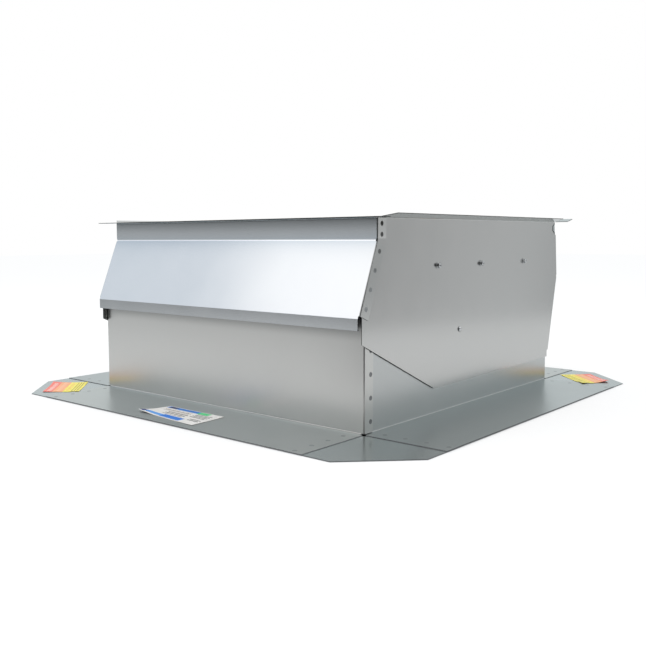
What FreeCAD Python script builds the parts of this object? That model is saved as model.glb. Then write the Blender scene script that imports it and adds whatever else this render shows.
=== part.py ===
import FreeCAD, Part
import math
import os

import Sketcher

# Adjustable roof jack for a down-draught evaporative cooler, bent from galvanised sheet.
# The neck is a square duct with a wide flashing that is fastened to the roof deck.
# The hood is a second, looser box over the neck. It tilts on one pivot screw per side, so
# that its top flange stays level on a pitched roof, and three lock screws per side hold it.
# +Z is up, the front (drip lip side) is at -Y, and the origin is the centre of the neck on
# the roof deck. Lengths are millimetres and angles are degrees.

SIZES = [
    ("sheet", 0.7, "thickness of the galvanised sheet"),
    ("bend", 0.8, "inside radius of every bend"),
    ("neck_width", 457.0, "neck across the front, outside"),
    ("neck_depth", 457.0, "neck from front to rear, outside"),
    ("crown_drop", 31.0, "level top of the neck's side walls below the hood's top"),
    ("crown_start", 110.0, "start of that level top behind the neck's front"),
    ("crown_end", 77.0, "end of that level top before the neck's rear"),
    ("brow_setback", 60.0, "upper front corner of a side wall behind the neck's front"),
    ("brow_drop", 13.0, "that corner below the level top"),
    ("rear_drop", 21.0, "rear wall of the neck below the level top"),
    ("front_rise", 14.1, "front wall of the neck above the upper fold of the drip lip"),
    ("tab_width", 16.0, "tabs that lap round the corners of the neck and hood"),
    ("tab_lift", 1.3, "lower end of a neck tab above the flashing"),
    ("relief", 3.0, "relief notch where bends would meet"),
    ("flashing_width", 103.0, "flashing outside the neck"),
    ("flashing_chamfer", 67.0, "cut-off corner of the flashing, along each edge"),
    ("lap", 25.0, "corner plate under the end of each flashing strip"),
    ("weld_dia", 5.5, "spot-weld button"),
    ("weld_rise", 0.2, "height of the button above the sheet"),
    ("weld_first", 14.0, "first weld of a neck tab above the deck"),
    ("weld_pitch", 25.9, "pitch of the welds on the tabs"),
    ("lap_weld_first", 18.0, "first weld of a lap from the neck"),
    ("lap_weld_pitch", 26.3, "pitch of the welds along a lap"),
    ("lap_weld_inset", 14.0, "welds of a lap from the end of the strip"),
    ("cheek_gap", 0.6, "running gap between the neck's tabs and the hood's side panels"),
    ("hood_height", 236.0, "top of the hood above the deck"),
    ("overhang", 18.0, "top flange outside the hood"),
    ("flange_lift", 4.2, "outer edge of the side and rear top flanges above their fold"),
    ("mitre_reach", 12.0, "how far the ends of a side flange are cut back at its outer edge"),
    ("front_setback", 20.5, "front band of the hood behind the neck's front"),
    ("band_height", 25.0, "band between the top and the front slope"),
    ("lip_reach", 12.4, "drip lip in front of the neck"),
    ("lip_top", 127.9, "upper fold of the drip lip above the deck"),
    ("lip_height", 12.7, "drip lip below that fold"),
    ("hem", 8.0, "folded hem"),
    ("cheek_reach", 6.5, "lower front edge of a side panel in front of the neck"),
    ("cheek_step", 1.5, "step of the side panel above the upper fold of the lip"),
    ("cheek_corner", 99.6, "lower end of the front edge of a side panel"),
    ("tip_setback", 139.8, "V tip of a side panel behind the neck's front"),
    ("tip_height", 32.0, "V tip above the deck"),
    ("rear_bottom", 35.0, "lower edge of the hood at the rear"),
    ("rear_clearance", 0.5, "gap between the neck and the hood's lower rear edge"),
    ("rear_fold_drop", 81.0, "rear fold of the hood below its top"),
    ("rear_fold_reach", 30.5, "rear fold behind the neck, outside"),
    ("rear_top_reach", 22.5, "top of the hood's rear behind the neck, outside"),
    ("tab_foot", 10.0, "lower end of a rear tab above the lower edge"),
    ("notch_depth", 12.0, "notch in the upper rear corner of a side panel"),
    ("notch_height", 18.5, "that notch below the top flange"),
    ("ear_drop", 3.5, "top of the rear panel's ear below the top flange"),
    ("ear_height", 11.0, "length of that ear down the rear wall"),
    ("ear_depth", 6.0, "that ear forward of the rear wall's inner face"),
    ("pivot_setback", 198.2, "pivot screw behind the neck's front"),
    ("pivot_height", 99.1, "pivot screw above the deck"),
    ("lock_drop", 24.9, "row of lock screws below the level top of the neck's side walls"),
    ("lock_spread", 53.0, "first and second lock screw before and behind the pivot"),
    ("lock_rear", 83.0, "third lock screw before the neck's rear"),
    ("tilt_limit", 18.43, "steepest tilt, the slope of a 4 in 12 roof"),
    ("slot_spare", 0.5, "room round the shank in a slot"),
    ("shank_dia", 4.2, "number 8 screw"),
    ("shank_length", 12.7, "screw under its head"),
    ("screw_fit", 0.04, "radial room in a hole that the screw is driven through"),
    ("pivot_fit", 0.08, "radial running clearance of the pivot screw in the hood"),
    ("pivot_play", 0.2, "end play under the head of the pivot screw"),
    ("washer_dia", 8.0, "washer face of the head"),
    ("washer_thick", 0.9, "thickness of the washer face"),
    ("hex_across", 6.35, "hexagon across flats"),
    ("hex_height", 2.7, "hexagon above its washer face"),
    ("hex_edge", 0.5, "chamfer of the hexagon's crown"),
    ("pan_dia", 6.6, "round head of the pivot screw"),
    ("pan_height", 2.0, "that head above its seat"),
    ("pan_edge", 1.3, "rounding of that head's crown"),
    ("nut_width", 14.0, "flat spring nut, long side"),
    ("nut_depth", 12.0, "flat spring nut, short side"),
    ("nut_thick", 0.8, "thickness of the spring nut"),
    ("nut_arch", 1.0, "rise of the spring nut's arch"),
    ("nut_arch_width", 7.0, "flat top of that arch"),
    ("nut_foot", 1.6, "foot of the arch at each end, flat on the sheet"),
    ("nut_gap", 0.3, "gap between a lock nut and the neck's wall"),
]

LEFT, RIGHT = -1, 1
FRONT, REAR = -1, 1
SIDE_NAMES = {LEFT: "left", RIGHT: "right"}
END_NAMES = {FRONT: "front", REAR: "rear"}
X_DIRECTION = FreeCAD.Vector(1, 0, 0)
Y_DIRECTION = FreeCAD.Vector(0, 1, 0)
Z_DIRECTION = FreeCAD.Vector(0, 0, 1)


class Size:
    """A number together with the spreadsheet formula that gives it."""

    def __init__(self, number, formula):
        self.number = float(number)
        self.formula = formula

    def joined(self, sign, other, number):
        return Size(number, "(%s %s %s)" % (self.formula, sign, as_size(other).formula))

    def __add__(self, other):
        return self.joined("+", other, self.number + as_size(other).number)

    def __sub__(self, other):
        return self.joined("-", other, self.number - as_size(other).number)

    def __mul__(self, other):
        return self.joined("*", other, self.number * as_size(other).number)

    def __truediv__(self, other):
        return self.joined("/", other, self.number / as_size(other).number)

    def __neg__(self):
        return Size(-self.number, "(0 - %s)" % self.formula)


def as_size(value):
    """A plain number as a Size."""
    if isinstance(value, Size):
        return value
    return Size(value, "(%r)" % float(value))


def sine(angle):
    return Size(math.sin(math.radians(angle.number)), "sin(%s)" % angle.formula)


def cosine(angle):
    return Size(math.cos(math.radians(angle.number)), "cos(%s)" % angle.formula)


def tangent(angle):
    return Size(math.tan(math.radians(angle.number)), "tan(%s)" % angle.formula)


def slope_angle(run, rise):
    """Angle from the vertical of a face that moves by run over rise."""
    ratio = run / rise
    return Size(math.degrees(math.atan(ratio.number)), "(atan(%s) / 1 deg)" % ratio.formula)


def root_of_squares(first, second):
    text = "sqrt(%s * %s + %s * %s)" % (first.formula, first.formula, second.formula, second.formula)
    return Size(math.hypot(first.number, second.number), text)


doc = FreeCAD.newDocument("roof_jack")
table = doc.addObject("Spreadsheet::Sheet", "sizes")
named = {}
for row, (alias, value, meaning) in enumerate(SIZES, start=1):
    table.set("A%d" % row, meaning)
    table.set("B%d" % row, repr(value))
    table.setAlias("B%d" % row, alias)
    named[alias] = Size(value, "sizes." + alias)
doc.recompute()


def size(alias):
    return named[alias]


# Sketches and features


def bind(thing, path, value):
    """Tie a property to its spreadsheet formula."""
    thing.setExpression(path, as_size(value).formula)


def new_body(label):
    body = doc.addObject("PartDesign::Body", label)
    body.Label = label
    body.AllowCompound = True
    return body


def new_sketch(body, name, plane, height=0.0, along=0.0, lean=None):
    """A sketch parallel to an origin plane, height above it, or leaning about its own first axis."""
    sketch = body.newObject("Sketcher::SketchObject", name)
    support = [item for item in body.Origin.OriginFeatures if item.Role == plane][0]
    sketch.AttachmentSupport = [(support, "")]
    sketch.MapMode = "FlatFace"
    turn = 0.0 if lean is None else lean.number
    base = FreeCAD.Vector(0, as_size(along).number, as_size(height).number)
    sketch.AttachmentOffset = FreeCAD.Placement(base, FreeCAD.Rotation(X_DIRECTION, turn))
    bind(sketch, "AttachmentOffset.Base.y", along)
    bind(sketch, "AttachmentOffset.Base.z", height)
    if lean is not None:
        bind(sketch, "AttachmentOffset.Rotation.Angle", lean)
    return sketch


def hold(sketch, kind, *place):
    """Add a dimension whose last value is a Size."""
    value = as_size(place[-1])
    index = sketch.addConstraint(Sketcher.Constraint(kind, *place[:-1], value.number))
    bind(sketch, "Constraints[%d]" % index, value)


def hold_point(sketch, curve, end, across, up):
    hold(sketch, "DistanceX", curve, end, across)
    hold(sketch, "DistanceY", curve, end, up)


def spot(across, up):
    return FreeCAD.Vector(as_size(across).number, as_size(up).number, 0)


def chain(sketch, points, closed, helper=False):
    """Straight lines through the points, joined end to end."""
    ends = list(zip(points, points[1:]))
    if closed:
        ends.append((points[-1], points[0]))
    lines = []
    for start, end in ends:
        lines.append(sketch.addGeometry(Part.LineSegment(start, end), helper))
    for first, second in zip(lines, lines[1:]):
        sketch.addConstraint(Sketcher.Constraint("Coincident", first, 2, second, 1))
    if closed:
        sketch.addConstraint(Sketcher.Constraint("Coincident", lines[-1], 2, lines[0], 1))
    return lines


def polygon(sketch, corners):
    """A closed outline through corners given as Sizes."""
    lines = chain(sketch, [spot(*corner) for corner in corners], True)
    for line, corner in zip(lines, corners):
        hold_point(sketch, line, 1, *corner)


def rectangle(sketch, across_a, across_b, up_a, up_b):
    polygon(sketch, [(across_a, up_a), (across_b, up_a), (across_b, up_b), (across_a, up_b)])


def circles(sketch, centres, radius):
    for across, up in centres:
        ring = Part.Circle(spot(across, up), Z_DIRECTION, as_size(radius).number)
        curve = sketch.addGeometry(ring)
        hold_point(sketch, curve, 3, across, up)
        hold(sketch, "Radius", curve, radius)


def regular_shapes(sketch, centres, radius, sides):
    """Regular polygons about centres, flat towards the first axis."""
    for across, up in centres:
        corners = []
        for step in range(sides):
            angle = as_size((step + 0.5) * 360.0 / sides)
            corners.append((across + radius * cosine(angle), up + radius * sine(angle)))
        polygon(sketch, corners)


def shifted_points(points, distance):
    """The points of an open line moved sideways, to the left of its direction."""
    moved = []
    for index, point in enumerate(points):
        before = points[index - 1] if index else None
        after = points[index + 1] if index + 1 < len(points) else None
        ways = [(b - a).normalize() for a, b in ((before, point), (point, after)) if a and b]
        normals = [FreeCAD.Vector(-way.y, way.x, 0) for way in ways]
        total = normals[0] + normals[-1]
        share = 2.0 / total.Length ** 2
        moved.append(point + total * (share * distance))
    return moved


def bent_strip(sketch, corners, thickness=None):
    """The section of a bent sheet: one face runs through the corners and the thickness lies to the
    left of that line."""
    depth = thickness or size("sheet")
    points = [spot(*corner) for corner in corners]
    face = chain(sketch, points, False)
    for line, corner in zip(face, corners):
        hold_point(sketch, line, 1, *corner)
    hold_point(sketch, face[-1], 2, *corners[-1])
    far_points = shifted_points(points, depth.number)
    far = chain(sketch, far_points, False)
    for line, guide in zip(far, face):
        sketch.addConstraint(Sketcher.Constraint("Parallel", line, guide))
        hold(sketch, "Distance", line, 1, guide, depth)
    for line_end, place in ((1, 0), (2, -1)):
        cap = sketch.addGeometry(Part.LineSegment(points[place], far_points[place]))
        sketch.addConstraint(Sketcher.Constraint("Coincident", cap, 1, face[place], line_end))
        sketch.addConstraint(Sketcher.Constraint("Coincident", cap, 2, far[place], line_end))
        sketch.addConstraint(Sketcher.Constraint("Perpendicular", cap, far[place]))


def arc_slot(sketch, centre, radius, start, sweep, half_width):
    """A round-ended slot along an arc about centre."""
    middle = spot(*centre)
    begin = math.radians(start.number)
    finish = math.radians(start.number + sweep.number)
    reach = radius.number
    rim = half_width.number

    def arc(about, arc_radius, first, last):
        ring = Part.Circle(about, Z_DIRECTION, arc_radius)
        return sketch.addGeometry(Part.ArcOfCircle(ring, first, last))

    def on_track(angle):
        return middle + FreeCAD.Vector(math.cos(angle), math.sin(angle), 0) * reach

    outer = arc(middle, reach + rim, begin, finish)
    inner = arc(middle, reach - rim, begin, finish)
    first_cap = arc(on_track(begin), rim, begin + math.pi, begin + 2 * math.pi)
    last_cap = arc(on_track(finish), rim, finish, finish + math.pi)
    hold_point(sketch, outer, 3, *centre)
    sketch.addConstraint(Sketcher.Constraint("Coincident", inner, 3, outer, 3))
    joints = (
        (outer, 1, first_cap, 2),
        (inner, 1, first_cap, 1),
        (outer, 2, last_cap, 1),
        (inner, 2, last_cap, 2),
    )
    for joint in joints:
        sketch.addConstraint(Sketcher.Constraint("Tangent", *joint))
    hold(sketch, "Radius", first_cap, half_width)
    hold(sketch, "Radius", outer, radius + half_width)
    hold(sketch, "DistanceX", first_cap, 3, centre[0] + radius * cosine(start))
    hold(sketch, "DistanceX", last_cap, 3, centre[0] + radius * cosine(start + sweep))


def pad(body, name, sketch, length):
    feature = body.newObject("PartDesign::Pad", name)
    feature.Profile = sketch
    bind(feature, "Length", length)
    sketch.Visibility = False
    return feature


def cut_up(body, name, sketch, length):
    """Cut from the sketch along its normal."""
    feature = body.newObject("PartDesign::Pocket", name)
    feature.Profile = sketch
    feature.Reversed = True
    bind(feature, "Length", length)
    return checked_cut(body, feature)


def cut_through(body, name, sketch):
    """Cut both ways through everything."""
    feature = body.newObject("PartDesign::Pocket", name)
    feature.Profile = sketch
    feature.SideType = "Symmetric"
    feature.Type = "ThroughAll"
    return checked_cut(body, feature)


def checked_cut(body, feature):
    """Make sure that a cut took material away."""
    doc.recompute()
    if feature.Shape.Volume > feature.BaseFeature.Shape.Volume - 1e-6:
        raise RuntimeError("%s of %s cuts nothing" % (feature.Name, body.Label))
    return feature


def edges_on_line(shape, point, direction):
    """Names of the straight edges that lie on the line through point along direction."""
    way = FreeCAD.Vector(direction).normalize()
    found = []
    for number, edge in enumerate(shape.Edges, start=1):
        if not isinstance(edge.Curve, (Part.Line, Part.LineSegment)):
            continue
        ends = [vertex.Point - point for vertex in edge.Vertexes]
        if all(end.cross(way).Length < 1e-4 for end in ends):
            found.append("Edge%d" % number)
    return found


def round_bend(body, name, direction, inside, outside):
    """Round both faces of a bend whose sharp edges pass through the points inside and outside."""
    for part, points, radius in (
        ("inside", inside, size("bend")),
        ("outside", outside, size("bend") + size("sheet")),
    ):
        doc.recompute()
        base = body.Tip
        names = []
        for point in points:
            place = FreeCAD.Vector(*[as_size(value).number for value in point])
            names += edges_on_line(base.Shape, place, direction)
        if not names:
            raise RuntimeError("no %s edge for %s of %s" % (part, name, body.Label))
        feature = body.newObject("PartDesign::Fillet", "%s_%s" % (name, part))
        feature.Base = (base, names)
        bind(feature, "Radius", radius)
        doc.recompute()
        if not feature.isValid():
            raise RuntimeError("%s %s of %s failed" % (name, part, body.Label))


def slab(body, name, side, near, far, draw):
    """A plate square to X on one side of the object, from near to far outside the centre plane."""
    start = near if side == RIGHT else -far
    sketch = new_sketch(body, name + "_outline", "YZ_Plane", start)
    draw(sketch)
    return pad(body, name, sketch, far - near)


def slab_cut(body, name, side, near, far, draw):
    """The same plate taken away."""
    start = near if side == RIGHT else -far
    sketch = new_sketch(body, name + "_outline", "YZ_Plane", start)
    draw(sketch)
    return cut_up(body, name, sketch, far - near)


# Places that several pieces share

SHEET = size("sheet")
BEND = size("bend")
HALF_W = size("neck_width") / 2
HALF_D = size("neck_depth") / 2
NECK_FRONT = -HALF_D
STRIP_BOTTOM = SHEET
STRIP_TOP = SHEET * 2
TAB_BOTTOM = STRIP_TOP + size("tab_lift")
FLASHING_X = HALF_W + size("flashing_width")
FLASHING_Y = HALF_D + size("flashing_width")
WELD_RADIUS = size("weld_dia") / 2
CHEEK_IN = HALF_W + SHEET + size("cheek_gap")
CHEEK_OUT = CHEEK_IN + SHEET
TAB_OUT = CHEEK_OUT + SHEET
TOP = size("hood_height")
TOP_UNDER = TOP - SHEET
FOLD = TOP - size("band_height")
LIP_TOP = size("lip_top")
LIP_BOTTOM = LIP_TOP - size("lip_height")
CROWN = TOP - size("crown_drop")
FRONT_HEIGHT = LIP_TOP + size("front_rise")
REAR_HEIGHT = CROWN - size("rear_drop")
FLANGE_X = CHEEK_OUT + size("overhang")
FLANGE_TIP = TOP_UNDER + size("flange_lift")
FLANGE_LEAN = slope_angle(size("flange_lift"), size("overhang"))
BAND_Y = NECK_FRONT + size("front_setback")
LIP_Y = NECK_FRONT - size("lip_reach")
REAR_TOP = (HALF_D + size("rear_top_reach"), TOP)
REAR_FOLD = (HALF_D + size("rear_fold_reach"), TOP - size("rear_fold_drop"))
REAR_BOTTOM = (HALF_D + SHEET * 3 + size("rear_clearance"), size("rear_bottom"))
PIVOT = (NECK_FRONT + size("pivot_setback"), size("pivot_height"))
SHANK_RADIUS = size("shank_dia") / 2
FRONT_LEAN = slope_angle(size("front_setback") + size("lip_reach"), FOLD - LIP_TOP)
REAR_UPPER_LEAN = slope_angle(REAR_FOLD[0] - REAR_TOP[0], REAR_TOP[1] - REAR_FOLD[1])
REAR_LOWER_LEAN = slope_angle(REAR_FOLD[0] - REAR_BOTTOM[0], REAR_FOLD[1] - REAR_BOTTOM[1])
LOCK_HEIGHT = CROWN - size("lock_drop")
LOCK_RISE = LOCK_HEIGHT - PIVOT[1]
LOCK_STEPS = [-size("lock_spread"), size("lock_spread"), HALF_D - size("lock_rear") - PIVOT[0]]
LOCKS = [(PIVOT[0] + step, LOCK_HEIGHT) for step in LOCK_STEPS]


def slope_y(height):
    """Outer face of the hood's front slope at a height."""
    return BAND_Y - (FOLD - height) * tangent(FRONT_LEAN)


def tab_weld_heights(top):
    """Heights of the welds up a neck tab."""
    room = top.number - size("weld_first").number - WELD_RADIUS.number
    count = int(room // size("weld_pitch").number) + 1
    return [size("weld_first") + size("weld_pitch") * step for step in range(count)]


def lap_weld_steps():
    """Distances from the neck of the welds along a flashing lap."""
    room = size("flashing_width").number - size("lap_weld_first").number - WELD_RADIUS.number
    count = int(room // size("lap_weld_pitch").number) + 1
    return [size("lap_weld_first") + size("lap_weld_pitch") * step for step in range(count)]


NECK_FRONT_WELDS = [(NECK_FRONT + size("tab_width") * 0.72, up) for up in tab_weld_heights(FRONT_HEIGHT)]
NECK_REAR_WELDS = [
    ((HALF_W - size("tab_width") * 0.72) * side, up)
    for side in (LEFT, RIGHT)
    for up in tab_weld_heights(REAR_HEIGHT)
]


def strip_welds_along_x(end):
    """Welds of the front or rear flashing strip, near both of its ends."""
    inset = HALF_W - size("lap_weld_inset")
    return [(inset * side, (HALF_D + step) * end) for side in (LEFT, RIGHT) for step in lap_weld_steps()]


def strip_welds_along_y(side):
    """Welds of the left or right flashing strip, near both of its ends."""
    inset = HALF_D - size("lap_weld_inset")
    return [((HALF_W + step) * side, inset * end) for end in (FRONT, REAR) for step in lap_weld_steps()]


# Neck


def neck_front_panel():
    """Front wall with a tab round each corner, and the front flashing strip."""
    body = new_body("neck_front_panel")
    wall_out = HALF_W + SHEET
    wall_in_y = NECK_FRONT + SHEET
    tab_end = NECK_FRONT + size("tab_width")
    plan = new_sketch(body, "wall_plan", "XY_Plane", STRIP_BOTTOM)
    polygon(
        plan,
        [
            (-wall_out, tab_end),
            (-wall_out, NECK_FRONT),
            (wall_out, NECK_FRONT),
            (wall_out, tab_end),
            (HALF_W, tab_end),
            (HALF_W, wall_in_y),
            (-HALF_W, wall_in_y),
            (-HALF_W, tab_end),
        ],
    )
    pad(body, "wall", plan, FRONT_HEIGHT - STRIP_BOTTOM)
    strip = new_sketch(body, "strip_plan", "XY_Plane", STRIP_BOTTOM)
    rectangle(strip, -HALF_W, HALF_W, -FLASHING_Y, wall_in_y)
    pad(body, "strip", strip, SHEET)
    corners = new_sketch(body, "corner_relief_plan", "XY_Plane", STRIP_BOTTOM)
    for side in (LEFT, RIGHT):
        near = (HALF_W - size("relief")) * side
        far = (wall_out + size("relief")) * side
        rectangle(corners, near, far, NECK_FRONT - size("relief"), tab_end + size("relief"))
    cut_up(body, "corner_relief", corners, TAB_BOTTOM - STRIP_BOTTOM)
    round_bend(
        body,
        "corner_bend",
        Z_DIRECTION,
        [(HALF_W, wall_in_y, 0), (-HALF_W, wall_in_y, 0)],
        [(wall_out, NECK_FRONT, 0), (-wall_out, NECK_FRONT, 0)],
    )
    round_bend(
        body, "foot_bend", X_DIRECTION, [(0, NECK_FRONT, STRIP_TOP)], [(0, wall_in_y, STRIP_BOTTOM)]
    )
    return body


def neck_rear_panel():
    """Rear wall, which stands inside the tabs of the side panels, and the rear flashing strip."""
    body = new_body("neck_rear_panel")
    wall_half = HALF_W - SHEET - BEND
    wall_in_y = HALF_D - SHEET
    plan = new_sketch(body, "wall_plan", "XY_Plane", STRIP_BOTTOM)
    rectangle(plan, -wall_half, wall_half, wall_in_y, HALF_D)
    pad(body, "wall", plan, REAR_HEIGHT - STRIP_BOTTOM)
    strip = new_sketch(body, "strip_plan", "XY_Plane", STRIP_BOTTOM)
    rectangle(strip, -HALF_W, HALF_W, wall_in_y, FLASHING_Y)
    pad(body, "strip", strip, SHEET)
    corners = new_sketch(body, "corner_relief_plan", "XY_Plane", STRIP_BOTTOM)
    for side in (LEFT, RIGHT):
        near = (HALF_W - size("relief")) * side
        far = (HALF_W + size("relief")) * side
        rectangle(corners, near, far, wall_in_y - size("relief"), HALF_D + size("relief"))
    cut_up(body, "corner_relief", corners, TAB_BOTTOM - STRIP_BOTTOM)
    round_bend(
        body, "foot_bend", X_DIRECTION, [(0, HALF_D, STRIP_TOP)], [(0, wall_in_y, STRIP_BOTTOM)]
    )
    return body


def neck_side_panel(side):
    """Side wall with its flashing strip, rear tab, pivot hole and three pitch slots."""
    body = new_body("neck_%s_panel" % SIDE_NAMES[side])
    wall_in = HALF_W - SHEET
    front_end = NECK_FRONT + SHEET + BEND
    tab_out = HALF_D + SHEET

    def wall_outline(sketch):
        polygon(
            sketch,
            [
                (front_end, STRIP_BOTTOM),
                (tab_out, STRIP_BOTTOM),
                (tab_out, REAR_HEIGHT),
                (HALF_D - size("relief"), REAR_HEIGHT),
                (HALF_D - size("crown_end"), CROWN),
                (NECK_FRONT + size("crown_start"), CROWN),
                (NECK_FRONT + size("brow_setback"), CROWN - size("brow_drop")),
                (front_end, FRONT_HEIGHT),
            ],
        )

    slab(body, "wall", side, wall_in, HALF_W, wall_outline)
    tab = new_sketch(body, "tab_plan", "XZ_Plane", -tab_out)
    rectangle(tab, (HALF_W - size("tab_width")) * side, HALF_W * side, STRIP_BOTTOM, REAR_HEIGHT)
    pad(body, "tab", tab, SHEET)
    strip = new_sketch(body, "strip_plan", "XY_Plane", STRIP_BOTTOM)
    rectangle(strip, wall_in * side, FLASHING_X * side, NECK_FRONT, HALF_D)
    pad(body, "strip", strip, SHEET)
    corners = new_sketch(body, "corner_relief_plan", "XY_Plane", STRIP_BOTTOM)
    far = (HALF_W + size("relief")) * side
    rectangle(
        corners,
        (wall_in - size("relief")) * side,
        far,
        NECK_FRONT - size("relief"),
        NECK_FRONT + size("relief"),
    )
    rectangle(
        corners,
        (HALF_W - size("tab_width") - size("relief")) * side,
        far,
        HALF_D - size("relief"),
        tab_out + size("relief"),
    )
    cut_up(body, "corner_relief", corners, TAB_BOTTOM - STRIP_BOTTOM)
    round_bend(
        body,
        "corner_bend",
        Z_DIRECTION,
        [(wall_in * side, HALF_D, 0)],
        [(HALF_W * side, tab_out, 0)],
    )
    round_bend(
        body,
        "foot_bend",
        Y_DIRECTION,
        [(HALF_W * side, 0, STRIP_TOP)],
        [(wall_in * side, 0, STRIP_BOTTOM)],
    )
    pivot_hole = new_sketch(body, "pivot_hole_plan", "YZ_Plane")
    circles(pivot_hole, [PIVOT], SHANK_RADIUS + size("screw_fit"))
    cut_through(body, "pivot_hole", pivot_hole)
    for number, step in enumerate(LOCK_STEPS, start=1):
        track = root_of_squares(step, LOCK_RISE)
        start = slope_angle(-step, LOCK_RISE) + 90.0
        slot = new_sketch(body, "pitch_slot_plan_%d" % number, "YZ_Plane")
        arc_slot(slot, PIVOT, track, start, size("tilt_limit"), SHANK_RADIUS + size("slot_spare"))
        cut_through(body, "pitch_slot_%d" % number, slot)
    return body


def flashing_corner(end, side):
    """Chamfered corner plate with a lap under each of the two strips that it joins."""
    body = new_body("flashing_corner_%s_%s" % (END_NAMES[end], SIDE_NAMES[side]))
    width = size("flashing_width")
    cut = width - size("flashing_chamfer")
    notch = size("relief")
    lap = -size("lap")
    outline = [
        (notch, lap),
        (width, lap),
        (width, cut),
        (cut, width),
        (lap, width),
        (lap, notch),
        (notch, notch),
    ]
    plan = new_sketch(body, "plate_plan", "XY_Plane")
    polygon(plan, [((HALF_W + x) * side, (HALF_D + y) * end) for x, y in outline])
    pad(body, "plate", plan, SHEET)
    return body


# Hood


def lies_on_slope(height, inward):
    """A point of the slope's tab: on the outer face at a height, then square to it by inward."""
    return (slope_y(height) + inward * cosine(FRONT_LEAN), height - inward * sine(FRONT_LEAN))


SLOPE_TAB_TOP = FOLD - size("relief") / 2
SLOPE_TAB_BOTTOM = LIP_TOP + size("relief")
BAND_TAB_BOTTOM = FOLD + size("relief") / 2
BAND_TAB_TOP = TOP_UNDER - BEND - size("relief") / 2


def hood_front_weld_places():
    """Two welds on the band's tab and four down the slope's tab."""
    inset = size("tab_width") / 2
    rise = BAND_TAB_TOP - BAND_TAB_BOTTOM
    places = [(BAND_Y + inset, BAND_TAB_BOTTOM + rise * share) for share in (0.22, 0.8)]
    drop = SLOPE_TAB_TOP - SLOPE_TAB_BOTTOM
    for share in (0.1, 0.36, 0.62, 0.88):
        places.append(lies_on_slope(SLOPE_TAB_TOP - drop * share, inset))
    return places


HOOD_FRONT_WELDS = hood_front_weld_places()


def hood_front_panel():
    """Top flange, band, slope and hemmed drip lip bent from one sheet, with tabs over the cheeks."""
    body = new_body("hood_front_panel")
    tab = size("tab_width")
    relief = size("relief")
    section = new_sketch(body, "section", "YZ_Plane", -TAB_OUT)
    bent_strip(
        section,
        [
            (BAND_Y - size("overhang"), TOP_UNDER),
            (BAND_Y, TOP_UNDER),
            (BAND_Y, FOLD),
            (LIP_Y, LIP_TOP),
            (LIP_Y, LIP_BOTTOM),
        ],
    )
    pad(body, "front", section, TAB_OUT * 2)
    fold_drop = SHEET * tangent(FRONT_LEAN / 2)
    bends = [
        ("top_bend", (0, BAND_Y, TOP_UNDER), (0, BAND_Y + SHEET, TOP)),
        ("fold_bend", (0, BAND_Y, FOLD), (0, BAND_Y + SHEET, FOLD - fold_drop)),
        ("lip_bend", (0, LIP_Y + SHEET, LIP_TOP - fold_drop), (0, LIP_Y, LIP_TOP)),
    ]
    for name, inside, outside in bends:
        round_bend(body, name, X_DIRECTION, [inside], [outside])
    hem = new_sketch(body, "hem_section", "YZ_Plane", -TAB_OUT)
    rectangle(hem, LIP_Y + SHEET, LIP_Y + SHEET * 2, LIP_BOTTOM, LIP_BOTTOM + size("hem"))
    pad(body, "hem", hem, TAB_OUT * 2)
    tips = new_sketch(body, "flange_tip_plan", "XY_Plane", TOP_UNDER)
    for side in (LEFT, RIGHT):
        inner = (TAB_OUT - relief) * side
        rectangle(tips, inner, FLANGE_X * side, BAND_Y - size("overhang"), BAND_Y - BEND)
    pad(body, "flange_tips", tips, SHEET)

    def tab_outline(sketch):
        rectangle(sketch, BAND_Y, BAND_Y + tab, BAND_TAB_BOTTOM, BAND_TAB_TOP)
        top, bottom = SLOPE_TAB_TOP, SLOPE_TAB_BOTTOM
        flush = as_size(0.0)
        corners = [(top, flush), (bottom, flush), (bottom, tab), (top, tab)]
        polygon(sketch, [lies_on_slope(*corner) for corner in corners])

    def fold_gaps(sketch):
        polygon(
            sketch,
            [
                lies_on_slope(SLOPE_TAB_TOP, -relief),
                lies_on_slope(SLOPE_TAB_TOP, tab + relief),
                (BAND_Y + tab + relief, BAND_TAB_BOTTOM),
                (BAND_Y - relief, BAND_TAB_BOTTOM),
            ],
        )
        rectangle(sketch, BAND_Y - relief, BAND_Y + tab + relief, BAND_TAB_TOP, TOP_UNDER)

    def lip_gap(sketch):
        polygon(
            sketch,
            [
                lies_on_slope(SLOPE_TAB_BOTTOM, -relief),
                lies_on_slope(SLOPE_TAB_BOTTOM, tab + relief),
                (BAND_Y, LIP_BOTTOM - relief),
                (LIP_Y - relief * 2, LIP_BOTTOM - relief),
            ],
        )

    for side in (LEFT, RIGHT):
        name = SIDE_NAMES[side]
        slab(body, "tabs_%s" % name, side, CHEEK_OUT, TAB_OUT, tab_outline)
        slab_cut(body, "fold_gaps_%s" % name, side, CHEEK_OUT - relief / 2, FLANGE_X, fold_gaps)
        slab_cut(body, "lip_gap_%s" % name, side, HALF_W + SHEET, FLANGE_X, lip_gap)
    slope_way = FreeCAD.Vector(0, sine(FRONT_LEAN).number, cosine(FRONT_LEAN).number)
    slope_in = BAND_Y + SHEET / cosine(FRONT_LEAN)
    round_bend(
        body,
        "slope_tab_bend",
        slope_way,
        [(CHEEK_OUT * side, slope_in, FOLD) for side in (LEFT, RIGHT)],
        [(TAB_OUT * side, BAND_Y, FOLD) for side in (LEFT, RIGHT)],
    )
    round_bend(
        body,
        "band_tab_bend",
        Z_DIRECTION,
        [(CHEEK_OUT * side, BAND_Y + SHEET, 0) for side in (LEFT, RIGHT)],
        [(TAB_OUT * side, BAND_Y, 0) for side in (LEFT, RIGHT)],
    )
    return body


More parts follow.
